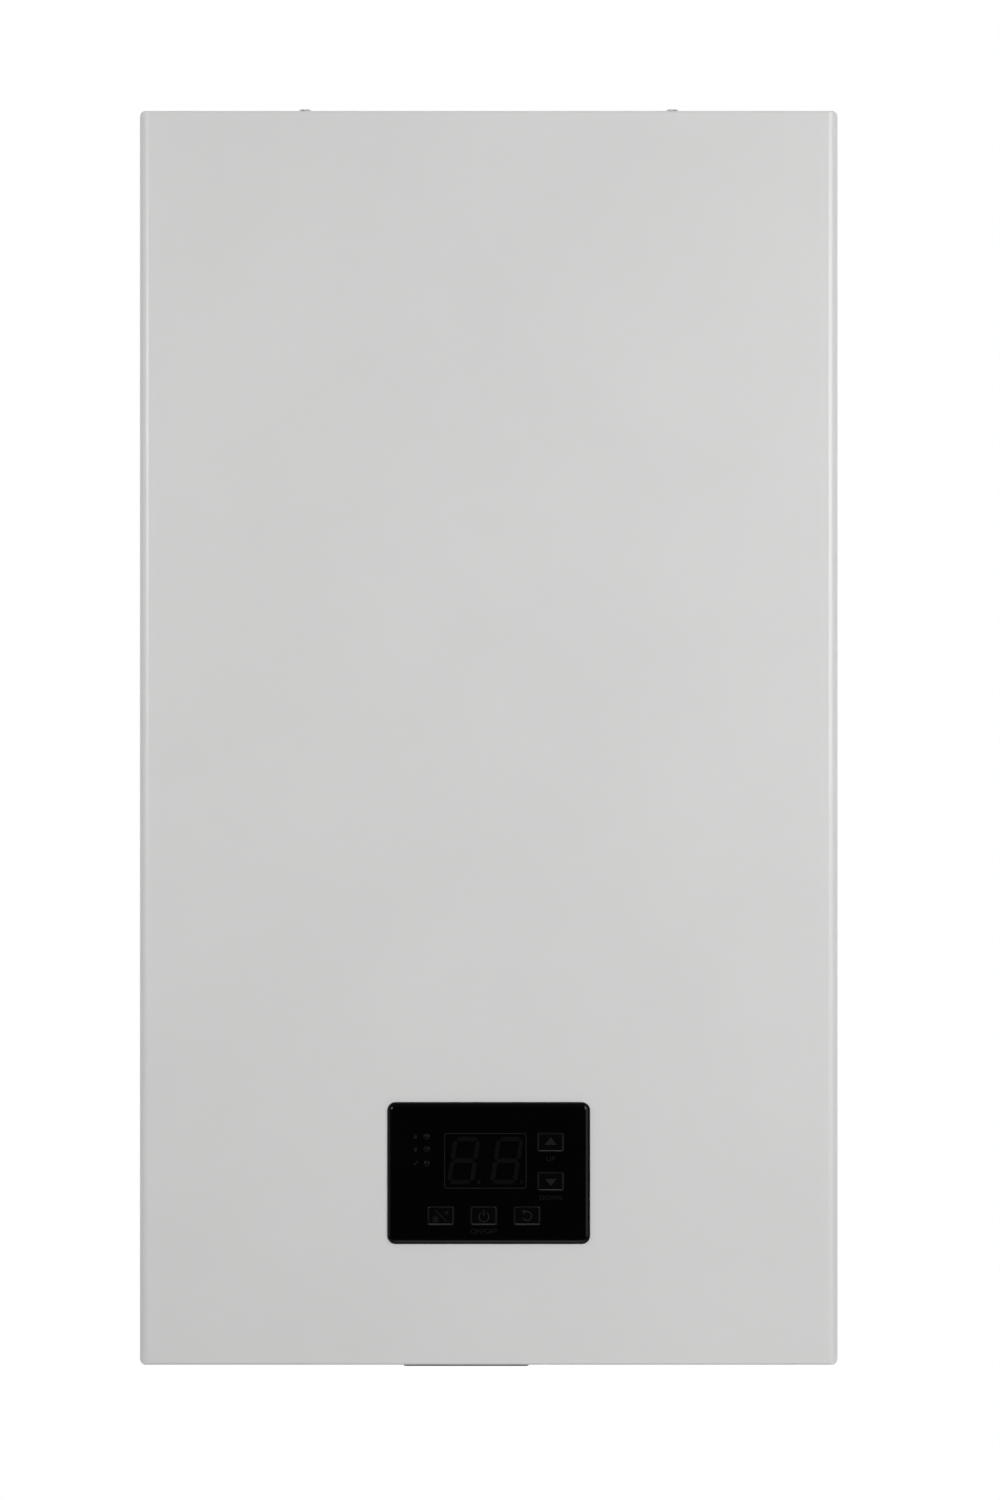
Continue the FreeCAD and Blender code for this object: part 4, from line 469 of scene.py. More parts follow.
buttons = {"up": "button_up", "down": "button_down", "season": "button_season",
           "power": "button_power", "reset": "button_reset"}
panel_low, panel_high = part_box("display_bezel")
lens_low, lens_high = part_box("display_lens")
face_y = panel_low.y
seat_y = casing_low.y
plate_back_y = seat_y + plate_depth


def middle_of(low, high):
    return ((low.x + high.x) / 2, (low.z + high.z) / 2)


def round_edge(width, height, corner, centre, face, depth, reach, steps, slope=0):
    """Rings from the side of a plate to its face along a quarter of an ellipse; the lower edge
    reaches further in by the slope."""
    turns = [math.pi / 2 * step / steps for step in range(steps + 1)]
    shares = [(1 - math.cos(turn), 1 - math.sin(turn)) for turn in turns]
    shares.append((1 + face_overlap / reach, 0))
    rings = []
    for share, rise in shares:
        inset = reach * share
        outline = rounded(width - 2 * inset, height - 2 * inset - slope * share,
                          max(corner - inset, least_corner))
        place = (centre[0], centre[1] + slope * share / 2)
        rings.append(facing(outline, place, face + depth * rise))
    return rings


def key_hole(name):
    """Centre, width and height of the hole that a key stands in."""
    low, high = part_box(name)
    return middle_of(low, high), high.x - low.x - 2 * key_flange, high.z - low.z - 2 * key_flange


def bezel():
    """The glossy surround: the moulded rear of the CAD part with a new face and a wide soft rim."""
    bm = cad_mesh("display_bezel")
    old_face = [face for face in bm.faces
                if all(vertex.co.y < plate_back_y + face_search for vertex in face.verts)]
    bmesh.ops.delete(bm, geom=old_face, context="FACES")
    centre = middle_of(panel_low, panel_high)
    width, height = panel_high.x - panel_low.x, panel_high.z - panel_low.z
    neck = rounded(width - 2 * neck_inset, height - 2 * neck_inset, panel_corner - neck_inset)
    edge = [facing(neck, centre, plate_back_y), facing(neck, centre, seat_y)]
    edge += round_edge(width, height, panel_corner, centre, face_y, seat_y - face_y, rim_width,
                       rim_steps)
    lens_centre = middle_of(lens_low, lens_high)
    wide = lens_high.x - lens_low.x + 2 * window_play
    tall = lens_high.z - lens_low.z + 2 * window_play

    def opening(centre, width, height, corner, steps):
        return [facing(rounded(width + 2 * grow, height + 2 * grow, corner + grow), centre, y)
                for grow, y in steps]

    mouth = [(hole_lead, face_y), (0, face_y + hole_lead)]
    through = mouth + [(0, plate_back_y)]
    ledge = [(0, lens_high.y), (-lens_rebate, lens_high.y), (-lens_rebate, plate_back_y)]
    holes = [opening(lens_centre, wide, tall, window_corner, mouth + ledge)]
    for name in buttons.values():
        key_centre, key_width, key_height = key_hole(name)
        holes.append(opening(key_centre, key_width, key_height, key_corner, through))
    for low, high in lamps:
        radius = (high.x - low.x) / 2 + window_play
        holes.append([facing(circle(radius + grow), middle_of(low, high), y) for grow, y in through])
    plate(bm, edge, holes)
    piece("bezel", bm, "cover", "black_gloss", "display_bezel", angle=40)


def lens():
    bm = bmesh.new()
    centre = middle_of(lens_low, lens_high)
    width, height = lens_high.x - lens_low.x, lens_high.z - lens_low.z
    edge = [facing(rounded(width, height, window_corner), centre, lens_high.y)]
    edge += round_edge(width, height, window_corner, centre, lens_low.y, lens_edge, lens_edge_reach, 2)
    plate(bm, edge)
    piece("lens", bm, "cover", "lens_smoke", "display_lens")


def outline_print(name, centre, width, height, corner, line, gap, look):
    """A thin pale line round an opening, or inside its edge where the gap is below zero: a painted
    highlight that stands in for light caught on the opening's edge.
    """
    bm = bmesh.new()
    outer = rounded(width + 2 * (gap + line), height + 2 * (gap + line), corner + gap + line)
    inner = rounded(width + 2 * gap, height + 2 * gap, corner + gap)
    raised = face_y - print_and_glint_thickness
    sleeve(bm, [facing(outer, centre, face_y), facing(outer, centre, raised),
                facing(inner, centre, raised), facing(inner, centre, face_y)])
    piece(name, bm, "cover", "digit_grey", look=look)


def key_cap(name, node):
    """A key with a domed rim; its flange and stem are behind the surround."""
    low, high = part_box(node)
    centre, width, height = key_hole(node)
    width -= 2 * key_gap
    height -= 2 * key_gap
    corner = key_corner - key_gap
    front = low.y + key_set_back
    flange = rounded(high.x - low.x, high.z - low.z, key_corner)
    flange_front = plate_back_y + key_flange_gap
    flange_rear = flange_front + key_flange_thickness
    bm = bmesh.new()
    edge = [facing(flange, centre, flange_rear), facing(flange, centre, flange_front),
            facing(rounded(width, height, corner), centre, flange_front)]
    edge += round_edge(width, height, corner, centre, front, key_edge, key_edge_reach, 6,
                       slope=key_edge_slope)
    plate(bm, edge)
    turned(bm, [(key_stem, 0), (key_stem, high.y - flange_rear)], V(centre[0], flange_rear, centre[1]),
           -AHEAD, 20)
    piece(name, bm, node, "key_black", node, angle=40)
    return centre, front


# Symbols printed on the keys and beside the lamps, drawn in millimetres about their middle
def bar(x0, z0, x1, z1, width):
    along = Vector((x1 - x0, z1 - z0)).normalized() * width / 2
    return [(x0 - along.y, z0 + along.x), (x0 + along.y, z0 - along.x),
            (x1 + along.y, z1 - along.x), (x1 - along.y, z1 + along.x)]


def arc(x, z, outer, stroke, start, end, steps=28):
    points = []
    for radius, turn in ((outer, 1), (outer - stroke, -1)):
        for step in range(steps + 1)[::turn]:
            angle = math.radians(start + (end - start) * step / steps)
            points.append((x + radius * math.cos(angle), z + radius * math.sin(angle)))
    return points


def snowflake(x, z, reach):
    shapes = []
    for turn in range(6):
        angle = math.radians(30 + 60 * turn)
        tip = (x + reach * math.cos(angle), z + reach * math.sin(angle))
        shapes.append(bar(x, z, *tip, 0.34))
        fork = (x + reach * 0.55 * math.cos(angle), z + reach * 0.55 * math.sin(angle))
        for side in (-1, 1):
            lean = angle + side * math.radians(50)
            shapes.append(bar(*fork, fork[0] + reach * 0.34 * math.cos(lean),
                              fork[1] + reach * 0.34 * math.sin(lean), 0.28))
    return shapes


def sun(x, z, reach):
    shapes = [[(x + px, z + pz) for px, pz in circle(reach * 0.45, 20)]]
    for turn in range(8):
        angle = math.radians(45 * turn)
        near, far = reach * 0.65, reach * 1.1
        shapes.append(bar(x + near * math.cos(angle), z + near * math.sin(angle),
                          x + far * math.cos(angle), z + far * math.sin(angle), 0.26))
    return shapes


def drop(reach):
    points = arc(0, -reach * 0.25, reach * 0.62, reach * 0.2, -215, 35)
    outer = points[:len(points) // 2]
    return [outer + [(0, reach)]]


def flame(reach):
    shape = [(0, 1), (0.5, 0.25), (0.62, -0.3), (0.3, -0.85), (-0.3, -0.85), (-0.62, -0.3),
             (-0.42, 0.1), (-0.15, -0.05)]
    return [[(reach * x, reach * z) for x, z in shape]]


def spanner(reach):
    return [bar(-reach * 0.7, -reach * 0.7, reach * 0.35, reach * 0.35, 0.7),
            arc(reach * 0.62, reach * 0.62, reach * 0.5, reach * 0.26, 80, 370)]


symbols = {
    "up": [[(-3.35, -1.375), (3.35, -1.375), (0, 2.775)]],
    "down": [[(-3.25, 1.45), (0, -2.55), (3.25, 1.45)]],
    "season": [bar(-3.2, 3.1, 3.25, -3.1, 0.4)] + snowflake(-3.0, -1.9, 2.1) + sun(3.25, 1.9, 1.2),
    "power": [arc(0, -0.55, 3.1, 0.7, -235, 55), bar(0, 3.3, 0, -0.2, 0.7)],
    "reset": [arc(0, 0, 2.85, 0.8, -155, 115), [(-2.9, 3.3), (-0.4, 2.9), (-1.9, 0.9)]],
}
lamp_symbols = (drop(1.6), flame(1.6), spanner(1.5))

# The word below a key, its width and how far below the key's middle it stands, in millimetres
words = {"up": ("UP", 5.2, 9.1), "down": ("DOWN", 12.3, 9.1), "power": ("ON/OFF", 14.9, 8.6)}


def printed(name, shapes, centre, front, body, look):
    """Flat symbols that lie on a face."""
    bm = bmesh.new()
    for number, shape in enumerate(shapes):
        lift = print_and_glint_thickness * (1 + 0.05 * number)
        outline = [(x * mm, z * mm) for x, z in shape]
        edge = [facing(outline, centre, front), facing(outline, centre, front - lift)]
        plate(bm, edge)
    piece(name, bm, body, "digit_grey", look=look)


def letters(text, fineness=12):
    """Letters of the plain built-in face, one unit high and thick, with their middle at zero."""
    thick = 0.01
    curve = bpy.data.curves.new("letters", "FONT")
    curve.body = text
    curve.align_x = "CENTER"
    curve.extrude = thick
    curve.resolution_u = fineness
    writer = linked("letters", curve)
    graph = bpy.context.evaluated_depsgraph_get()
    bm = bmesh.new()
    bm.from_mesh(writer.evaluated_get(graph).to_mesh())
    bpy.data.objects.remove(writer)
    bpy.data.curves.remove(curve)
    low = min(vertex.co.y for vertex in bm.verts)
    high = max(vertex.co.y for vertex in bm.verts)
    size = high - low
    for vertex in bm.verts:
        x, y, z = vertex.co
        vertex.co = (x / size, (y - (low + high) / 2) / size, (z + thick) / (2 * thick))
    return bm


def word_print(name, text, width, centre, look):
    """A word on the face of the panel, with the width and middle given."""
    bm = letters(text, 4)
    reach = max(abs(vertex.co.x) for vertex in bm.verts)
    for vertex in bm.verts:
        x, y, z = vertex.co
        vertex.co = (centre[0] + x / reach * width / 2, face_y - z * print_and_glint_thickness,
                     centre[1] + y * word_height)
    bmesh.ops.remove_doubles(bm, verts=bm.verts, dist=weld)
    piece(name, bm, "cover", "digit_grey", look=look)


# Flat dark paint for the printed symbols and words, and for the painted highlights round the openings
def ink(name, colour):
    return finish(name, 0.5, 0.0, 0.1, 6 * mm, 0.3 * mm, 0.001 * mm, colour=colour,
                  Specular_IOR_Level=0.1)


def control_panel():
    bezel()
    lens()
    # Painted highlight: a pale blue-grey line round the window and each key hole, in place of light
    # caught on their edges
    line = ink("print_line", (0.06, 0.078, 0.088))
    symbol = ink("print_symbol", (0.07, 0.073, 0.075))
    word = ink("print_word", (0.04, 0.046, 0.048))
    outline_print("window_line", middle_of(lens_low, lens_high), lens_high.x - lens_low.x,
                  lens_high.z - lens_low.z, window_corner, window_line, window_line_gap, line)
    for name, node in buttons.items():
        centre, front = key_cap("key_" + name, node)
        printed("symbol_" + name, symbols[name], centre, front, node, symbol)
        hole_centre, width, height = key_hole(node)
        outline_print("line_" + name, hole_centre, width, height, key_corner, key_line, hole_lead, line)
        if name in words:
            text, wide, below = words[name]
            word_print("word_" + name, text, wide * mm, (centre[0], centre[1] - below * mm), word)
    for number, (low, high) in enumerate(lamps):
        across, level = middle_of(low, high)
        printed(f"lamp_symbol_{number}", lamp_symbols[number], (across - lamp_symbol_place, level),
                face_y, "cover", word)


# Board behind the panel: board, digit module, key switches and lamps
widest_lamp = 4 * mm
plunger = 0.9 * mm
plunger_radius = 1.6 * mm
plunger_edge = 0.2 * mm
lamp_dome = 0.5 * mm


def width_of(box):
    return box[1].x - box[0].x


board_boxes = islands("display_board")
board_box = max(board_boxes, key=width_of)
module_box = max((box for box in board_boxes if box is not board_box), key=width_of)
lamps = sorted((box for box in board_boxes if width_of(box) < widest_lamp), key=lambda box: -box[0].z)
switches = [box for box in board_boxes if box not in (board_box, module_box, *lamps)]


def soft_block(bm, low, high, corner, edge_size):
    """A block that faces the front, with round corners and a small round edge."""
    centre = middle_of(low, high)
    width, height = high.x - low.x, high.z - low.z
    edge = [facing(rounded(width, height, corner), centre, high.y)]
    edge += round_edge(width, height, corner, centre, low.y, edge_size, edge_size, 3)
    plate(bm, edge)


def display_board():
    bm = bmesh.new()
    soft_block(bm, *board_box, 2.7 * mm, 0.1 * mm)
    piece("board", bm, "cover", "circuit_green", "display_board")
    bm = bmesh.new()
    soft_block(bm, *module_box, 0.5 * mm, 0.3 * mm)
    matt = finish("module_black", 0.5, 0.0, 0.1, 10 * mm, 0.3 * mm, 0.004 * mm,
                  colour=(0.004, 0.004, 0.004), Specular_IOR_Level=0.2)
    piece("digit_module", bm, "cover", "black_gloss", "display_board", look=matt)
    bm = bmesh.new()
    for low, high in switches:
        soft_block(bm, V(low.x, low.y + plunger, low.z), high, 0.3 * mm, 0.2 * mm)
        across, level = middle_of(low, high)
        profile = [(plunger_radius, plunger), (plunger_radius, plunger_edge),
                   (plunger_radius - plunger_edge, 0)]
        turned(bm, profile, V(across, low.y, level), -AHEAD, 24)
    piece("key_switches", bm, "cover", "dark_plastic", "display_board")
    bm = bmesh.new()
    for low, high in lamps:
        across, level = middle_of(low, high)
        radius = (high.x - low.x) / 2
        profile = [(radius, high.y - low.y)]
        profile += [(radius * math.cos(a), lamp_dome * (1 - math.sin(a)))
                    for a in [math.pi / 2 * step / 8 for step in range(8)]]
        profile.append((0.02 * radius, 0))
        turned(bm, profile, V(across, low.y, level), -AHEAD, 28)
    unlit = finish("lamp_dark", 0.3, 0.0, 0.1, 3 * mm, 0.4 * mm, 0.001 * mm,
                   colour=(0.03, 0.03, 0.032), Specular_IOR_Level=0.12)
    piece("lamps", bm, "cover", "dark_plastic", "display_board", look=unlit)


# Screws, nuts and threads
water_pipe = 18 * mm
gas_pipe = 14 * mm
nut_play = 0.2 * mm
least_nut = 10 * mm
lock_nut_height = 6 * mm
lock_nut_wall = 4 * mm
gas_union_y = -150 * mm
gas_union_z = -480 * mm
screw_head = 2.4 * mm
screw_shank = 4 * mm
captive_nut_height = 6 * mm
captive_nut_bore = 4.1 * mm
recess_width = 0.9 * mm
recess_reach = 2.2 * mm
recess_depth = 1.5 * mm
recess_above = 0.2 * mm
thread_pitch = 1.81 * mm
thread_depth = 1.1 * mm
thread_lead = 1.6 * mm
thread_lead_depth = 1.3 * mm
thread_overlap = 0.4 * mm
bore_share = 0.72
bore_lead = 0.8 * mm
pin_play = 1 * mm


def screw(bm, top, axis, head, head_height, shank, length):
    """A pan screw with a cross recess: top is the middle of its crown, and axis points into the work."""
    radius = head / 2
    profile = [(shank / 2 * 0.6, head_height + length), (shank / 2, head_height + length - 0.5 * mm),
               (shank / 2, head_height), (radius * 0.97, head_height), (radius, head_height - 0.15 * mm)]
    bend = head_height * 0.8
    steps = 8
    for step in range(steps + 1):
        angle = math.pi / 2 * step / steps
        profile.append((radius - bend * (1 - math.cos(angle)), bend * (1 - math.sin(angle))))
    profile.append((middle_flat, 0))
    blank = bmesh.new()
    turned(blank, profile, V(0, 0, 0), UP, 40)
    mouth = (recess_reach, recess_width / 2, -recess_above)
    floor = (recess_reach * 0.45, recess_width / 2 * 0.6, recess_depth)
    cutters = []
    for turn in (1, -1):
        rings = []
        for x, y, level in (mouth, floor):
            rings.append([V(*corner[::turn], level) for corner in rectangle(x, y)])
        cutter = bmesh.new()
        prism(cutter, rings)
        cutters.append(cutter)
    made = carved(blank, cutters)
    rotation = UP.rotation_difference(axis).to_matrix().to_4x4()
    made.transform(Matrix.Translation(top) @ rotation)
    join(bm, made)


def join(bm, other):
    """Adds another bmesh to this one."""
    mesh = bpy.data.meshes.new("joined")
    other.to_mesh(mesh)
    other.free()
    bm.from_mesh(mesh)
    bpy.data.meshes.remove(mesh)


def door_screws_and_nuts():
    screws = bmesh.new()
    nuts = bmesh.new()
    for low, high in islands("fasteners"):
        size = high - low
        middle = (low + high) / 2
        if size.x < least_nut:
            top = V(middle.x, low.y, middle.z)
            screw(screws, top, -AHEAD, size.x, screw_head, screw_shank, size.y - screw_head)
        else:
            flats = min(size.x, size.y)
            on_gas_pipe = middle.y < gas_union_y and middle.z > gas_union_z
            bore = gas_pipe if on_gas_pipe else water_pipe
            if size.z < lock_nut_height:
                bore = flats - lock_nut_wall
            hex_nut(nuts, V(middle.x, middle.y, low.z), UP, flats, size.z, bore + nut_play)
    piece("screws", screws, "boiler", "screw_steel", "fasteners", angle=30)
    piece("nuts", nuts, "boiler", "brass", "fasteners", angle=30)


def cover_screws():
    bm = bmesh.new()
    for low, high in islands("cover_screws"):
        size = high - low
        middle = (low + high) / 2
        if size.z > captive_nut_height:
            top = V(middle.x, middle.y, high.z)
            screw(bm, top, -UP, size.x, screw_head, screw_shank, size.z - screw_head)
        else:
            base = V(middle.x, middle.y, low.z)
            hex_nut(bm, base, UP, min(size.x, size.y), size.z, captive_nut_bore)
    piece("cover_screws_cut", bm, "cover", "screw_steel", "cover_screws", angle=30)


def thread(bm, centre, radius, bore, low, high, steps=64):
    """A pipe thread with a chamfered end; its crests have the radius given, and it has a bore."""
    rows = int((high - low) / thread_pitch * 8)
    rings = []
    for row in range(rows + 1):
        level = low + (high - low) * row / rows
        lead = max(0.0, 1 - (level - low) / thread_lead) * thread_lead_depth
        ring = []
        for i in range(steps):
            turn = i / steps
            phase = (level / thread_pitch + turn) % 1
            cut = thread_depth * (abs(phase - 0.5) * 2)
            reach = min(radius - cut, radius - lead)
            ring.append(V(centre[0] + reach * math.cos(2 * math.pi * turn),
                          centre[1] + reach * math.sin(2 * math.pi * turn), level))
        rings.append(ring)
    for inner, level in ((bore, high), (bore, low + bore_lead), (bore + bore_lead, low)):
        rings.append([V(centre[0] + x, centre[1] + y, level) for x, y in circle(inner, steps)])
    sleeve(bm, rings)


def threaded_nodes():
    """Copies of the cast and piped nodes with real threads below their lock nuts."""
    pins = [mount for mount in frame["record"]["mounts"] if mount["kind"] == "pin"]
    for name in ("flow_manifold", "return_manifold", "gas_inlet_pipe"):
        low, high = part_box(name)
        own = [pin for pin in pins if low.x - pin_play < pin["pos_m"][0] < high.x + pin_play]
        length = own[0]["dims"]["length_mm"] * mm
        level = own[0]["pos_m"][2] + length / 2
        bm = cad_mesh(name)
        bmesh.ops.bisect_plane(bm, geom=bm.verts[:] + bm.edges[:] + bm.faces[:], plane_co=V(0, 0, level),
                               plane_no=-UP, clear_outer=True, dist=0.0001 * mm)
        ends = bmesh.new()
        for pin in own:
            radius = pin["dims"]["r_mm"] * mm
            x, y, z = pin["pos_m"]
            thread(ends, (x, y), radius, radius * bore_share, z - length / 2, level + thread_overlap)
        piece(name + "_body", bm, body_of[name], slot_of[name], name, angle=38)
        piece(name + "_threads", ends, body_of[name], "brass", name, angle=38)


# Chamber door, gauge, small fittings and the parts that only need their edges broken
door_corner = 3 * mm
door_edge = 1.2 * mm
door_sheet = 0.8 * mm
door_margin = 20 * mm
door_field_corner = 14 * mm
door_slope = 3 * mm
door_sunk = 2 * mm
door_screw_hole = 2.1 * mm
sight_radius = 16 * mm
sight_depth = 4 * mm
gauge_outer = 20 * mm
gauge_inner = 18.5 * mm
gauge_inset = 5 * mm
gauge_base = -615 * mm
gauge_flange = 2 * mm
gauge_edge = 0.4 * mm
gauge_play = 0.05 * mm
dial_radius = 18 * mm
dial_thickness = 0.25 * mm
dial_above_needle = 0.5 * mm
dial_number_ring = 10.6 * mm
dial_number_height = 3.0 * mm
dial_sweep = math.radians(240)
lid_head = 1.6 * mm
lid_shank = 3 * mm
coil_nut = 3.5 * mm
coil_nut_flats = 10 * mm


def chamber_door():
    """The pressed door: a flat rim with its screws and a sunk field with the sight glass."""
    low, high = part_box("chamber_door")
    centre = middle_of(low, high)
    width, height = high.x - low.x, high.z - low.z
    inner = rounded(width - 2 * door_sheet, height - 2 * door_sheet, door_corner - door_sheet)
    edge = [facing(inner, centre, low.y + door_sheet), facing(inner, centre, high.y),
            facing(rounded(width, height, door_corner), centre, high.y)]
    edge += round_edge(width, height, door_corner, centre, low.y, door_edge, door_edge, 4)

    def field(share, depth):
        inset = door_margin + door_slope * share
        outline = rounded(width - 2 * inset, height - 2 * inset, door_field_corner - inset / 4)
        return facing(outline, centre, low.y + door_sunk * depth)

    bm = bmesh.new()
    press = [field(0, 0), field(0.3, 0.12), field(0.7, 0.88), field(1, 1)]
    outer = skin(bm, edge)
    step = skin(bm, press)
    rear_step = skin(bm, [[V(x, y + door_sheet, z) for x, y, z in ring] for ring in press[::-1]])
    holes = []
    for head_low, head_high in islands("fasteners"):
        if head_high.x - head_low.x < least_nut:
            ring = circle(door_screw_hole, 16)
            place = middle_of(head_low, head_high)
            holes.append(skin(bm, [facing(ring, place, low.y + depth) for depth in (0, door_sheet)]))
    glass_low, glass_high = min(islands("chamber_door"), key=width_of)
    sight = middle_of(glass_low, glass_high)
    lip = [(14.4 * mm, door_sunk), (13.6 * mm, door_sunk - 1.1 * mm), (12.6 * mm, door_sunk - 1.1 * mm),
           (12 * mm, door_sunk - 0.4 * mm), (12 * mm, door_sunk + door_sheet)]
    eye = skin(bm, [facing(circle(radius), sight, low.y + depth) for radius, depth in lip])
    fill(bm, [outer[-1], step[0]] + [hole[0] for hole in holes])
    fill(bm, [outer[0], rear_step[-1]] + [hole[-1] for hole in holes])
    fill(bm, [step[-1], eye[0]])
    fill(bm, [rear_step[0], eye[-1]])
    piece("chamber_door_pressed", bm, "boiler", "aluminised", "chamber_door", angle=30)
    mica = finish("sight_mica", 0.08, 0.0, 0.2, 8 * mm, 0.8 * mm, 0.004 * mm,
                  colour=(0.05, 0.045, 0.04))
    bm = bmesh.new()
    turned(bm, [(sight_radius, sight_depth), (sight_radius, 0)],
           V(sight[0], glass_low.y + 2 * mm, sight[1]), -AHEAD, 40)
    piece("sight_glass", bm, "boiler", "aluminised", "chamber_door", look=mica)


def lathe(name, profile, centre, axis, body, slot, *replaced, look=None):
    """A round piece of its own, with its profile from one end of the axis to the other."""
    bm = bmesh.new()
    turned(bm, profile, centre, axis, 56)
    return piece(name, bm, body, slot, *replaced, look=look)


def gauge_case():
    """The round case with its flange, and the clear window that the dial is read through."""
    low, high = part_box("gauge_case")
    flange = (high.x - low.x) / 2
    centre = V((low.x + high.x) / 2, (low.y + high.y) / 2, 0)
    floor = low.z + gauge_inset
    under = gauge_base - gauge_flange
    profile = [(middle_flat, floor), (gauge_inner, floor), (gauge_inner, low.z + gauge_edge),
               (gauge_inner + gauge_edge, low.z), (gauge_outer - gauge_edge, low.z),
               (gauge_outer, low.z + gauge_edge), (gauge_outer, under), (flange - gauge_edge, under),
               (flange, under + gauge_edge), (flange, gauge_base), (gauge_outer, gauge_base),
               (gauge_outer, high.z - gauge_edge), (gauge_outer - gauge_edge, high.z),
               (middle_flat, high.z)]
    lathe("gauge_cup", profile, centre, UP, "boiler", "dark_plastic", "gauge_case")
    clear = finish("clear_window", 0.05, 0.0, 0.02, 20 * mm, 3 * mm, 0.001 * mm, rough_play=0.01,
                   colour=(0.6, 0.62, 0.62), Alpha=0.16)
    edge = gauge_inner - gauge_play
    profile = [(middle_flat, 0.1 * mm), (edge * 0.6, 0.2 * mm), (edge, 0.6 * mm), (edge, 1.5 * mm),
               (middle_flat, 1.5 * mm)]
    profile = [(radius, low.z + along) for radius, along in profile]
    lathe("gauge_window", profile, centre, UP, "boiler", "lens_smoke", "gauge_case", look=clear)


def dial_turn(share):
    """The angle on the dial at a share of the needle's sweep, from straight ahead of the boiler."""
    return dial_sweep * (share - 0.5)


def number_below(text, place, look):
    """A number that reads from below, with its top towards the wall."""
    bm = letters(text)
    for vertex in bm.verts:
        x, y, z = vertex.co
        vertex.co = (place.x + x * dial_number_height, place.y - y * dial_number_height,
                     place.z - z * print_and_glint_thickness)
    bmesh.ops.remove_doubles(bm, verts=bm.verts, dist=weld)
    piece("dial_number_" + text, bm, "boiler", "dark_plastic", look=look)


def gauge_dial():
    """A pale dial with generic numbers that faces down, just above the needle."""
    low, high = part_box("gauge_case")
    needle_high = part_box("gauge_needle")[1]
    middle = V((low.x + high.x) / 2, (low.y + high.y) / 2, needle_high.z + dial_above_needle)
    card = finish("dial_card", 0.6, 0.0, 0.02, 8 * mm, 0.4 * mm, 0.002 * mm, colour=(0.93, 0.93, 0.91))
    lathe("dial", [(dial_radius, 0), (dial_radius, dial_thickness)], middle, UP, "boiler",
          "white_ceramic", look=card)
    dial_ink = finish("dial_ink", 0.5, 0.0, 0.1, 4 * mm, 0.3 * mm, 0.001 * mm,
                      colour=(0.03, 0.03, 0.035))
    bm = bmesh.new()
    marks = 16
    for mark in range(marks + 1):
        angle = dial_turn(mark / marks)
        ahead = V(math.sin(angle), -math.cos(angle), 0)
        across = V(ahead.y, -ahead.x, 0)
        long, half = (4.4 * mm, 0.3 * mm) if mark % 4 == 0 else (3.0 * mm, 0.16 * mm)
        near, far = dial_radius - long, dial_radius - 1 * mm
        corners = [(near, -half), (far, -half), (far, half), (near, half)]
        ring = [middle + ahead * along + across * aside for along, aside in corners]
        prism(bm, [ring, [point - UP * print_and_glint_thickness for point in ring]])
    piece("dial_marks", bm, "boiler", "dark_plastic", look=dial_ink)
    for number in range(5):
        angle = dial_turn(number / 4)
        ahead = V(math.sin(angle), -math.cos(angle), 0)
        number_below(str(number), middle + ahead * dial_number_ring, dial_ink)


def corners_of(low, high, inset):
    """Places near the four corners of a face that looks ahead."""
    return [(x, z) for x in (low.x + inset, high.x - inset) for z in (low.z + inset, high.z - inset)]


def lid_screw(bm, place, axis, head):
    """A screw whose head stands on the face at the place given."""
    screw(bm, place - axis * lid_head, axis, head, lid_head, lid_shank, lid_head)


def pump_face(low, high):
    """The round plate on the pump's motor with its slotted plug; returns their middle and the
    radius of the motor."""
    radius = (high.x - low.x) / 2
    middle = V((low.x + high.x) / 2, low.y, low.z + radius)
    cap = radius * 0.7
    lathe("pump_face", [(cap, 0), (cap, 0.7 * mm), (cap - 0.5 * mm, 1.2 * mm), (middle_flat, 1.2 * mm)],
          middle, AHEAD, "boiler", "motor_paint")
    plug = bmesh.new()
    turned(plug, [(7 * mm, 1.2 * mm), (7 * mm, 2.6 * mm), (6.4 * mm, 3.2 * mm), (middle_flat, 3.2 * mm)],
           middle, AHEAD, 40)
    slot = bmesh.new()
    outline = rectangle(8 * mm, 0.7 * mm)
    prism(slot, [facing(outline, (middle.x, middle.z), middle.y - level) for level in (4 * mm, 2 * mm)])
    piece("pump_plug", carved(plug, [slot]), "boiler", "screw_steel")
    return middle, radius


def fittings():
    """Screws, nuts and plugs on the lid, the gas valve, the pump and the terminal box."""
    screws = bmesh.new()
    low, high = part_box("control_lid")
    for x, z in corners_of(low, high, 8 * mm):
        lid_screw(screws, V(x, low.y, z), -AHEAD, 6.5 * mm)
    (low, high), *coils = sorted(islands("gas_valve"), key=lambda box: -box[1].y)
    for x, z in corners_of(low, high, 6 * mm):
        lid_screw(screws, V(x, low.y, z), -AHEAD, 6 * mm)
    nuts = bmesh.new()
    for low, high in coils:
        middle = V((low.x + high.x) / 2, low.y - coil_nut, (low.z + high.z) / 2)
        hex_nut(nuts, middle, -AHEAD, coil_nut_flats, coil_nut, 4 * mm)
        turned(nuts, [(1.6 * mm, -1 * mm), (2 * mm, -0.6 * mm), (2 * mm, coil_nut)], middle, -AHEAD, 20)
    middle, radius = pump_face(*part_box("pump_motor"))
    for quarter in range(4):
        angle = math.pi / 4 + quarter * math.pi / 2
        place = middle + V(math.cos(angle), 0, math.sin(angle)) * radius * 0.86
        lid_screw(screws, place, -AHEAD, 5.5 * mm)
    low, high = max(islands("terminal_box"), key=width_of)
    inset = 6 * mm
    for x in (low.x + inset, high.x - inset):
        lid_screw(screws, V(x, high.y - inset, low.z), UP, 6 * mm)
    piece("lid_screws", screws, "boiler", "screw_steel", angle=30)
    piece("coil_nuts", nuts, "boiler", "screw_steel", angle=30)


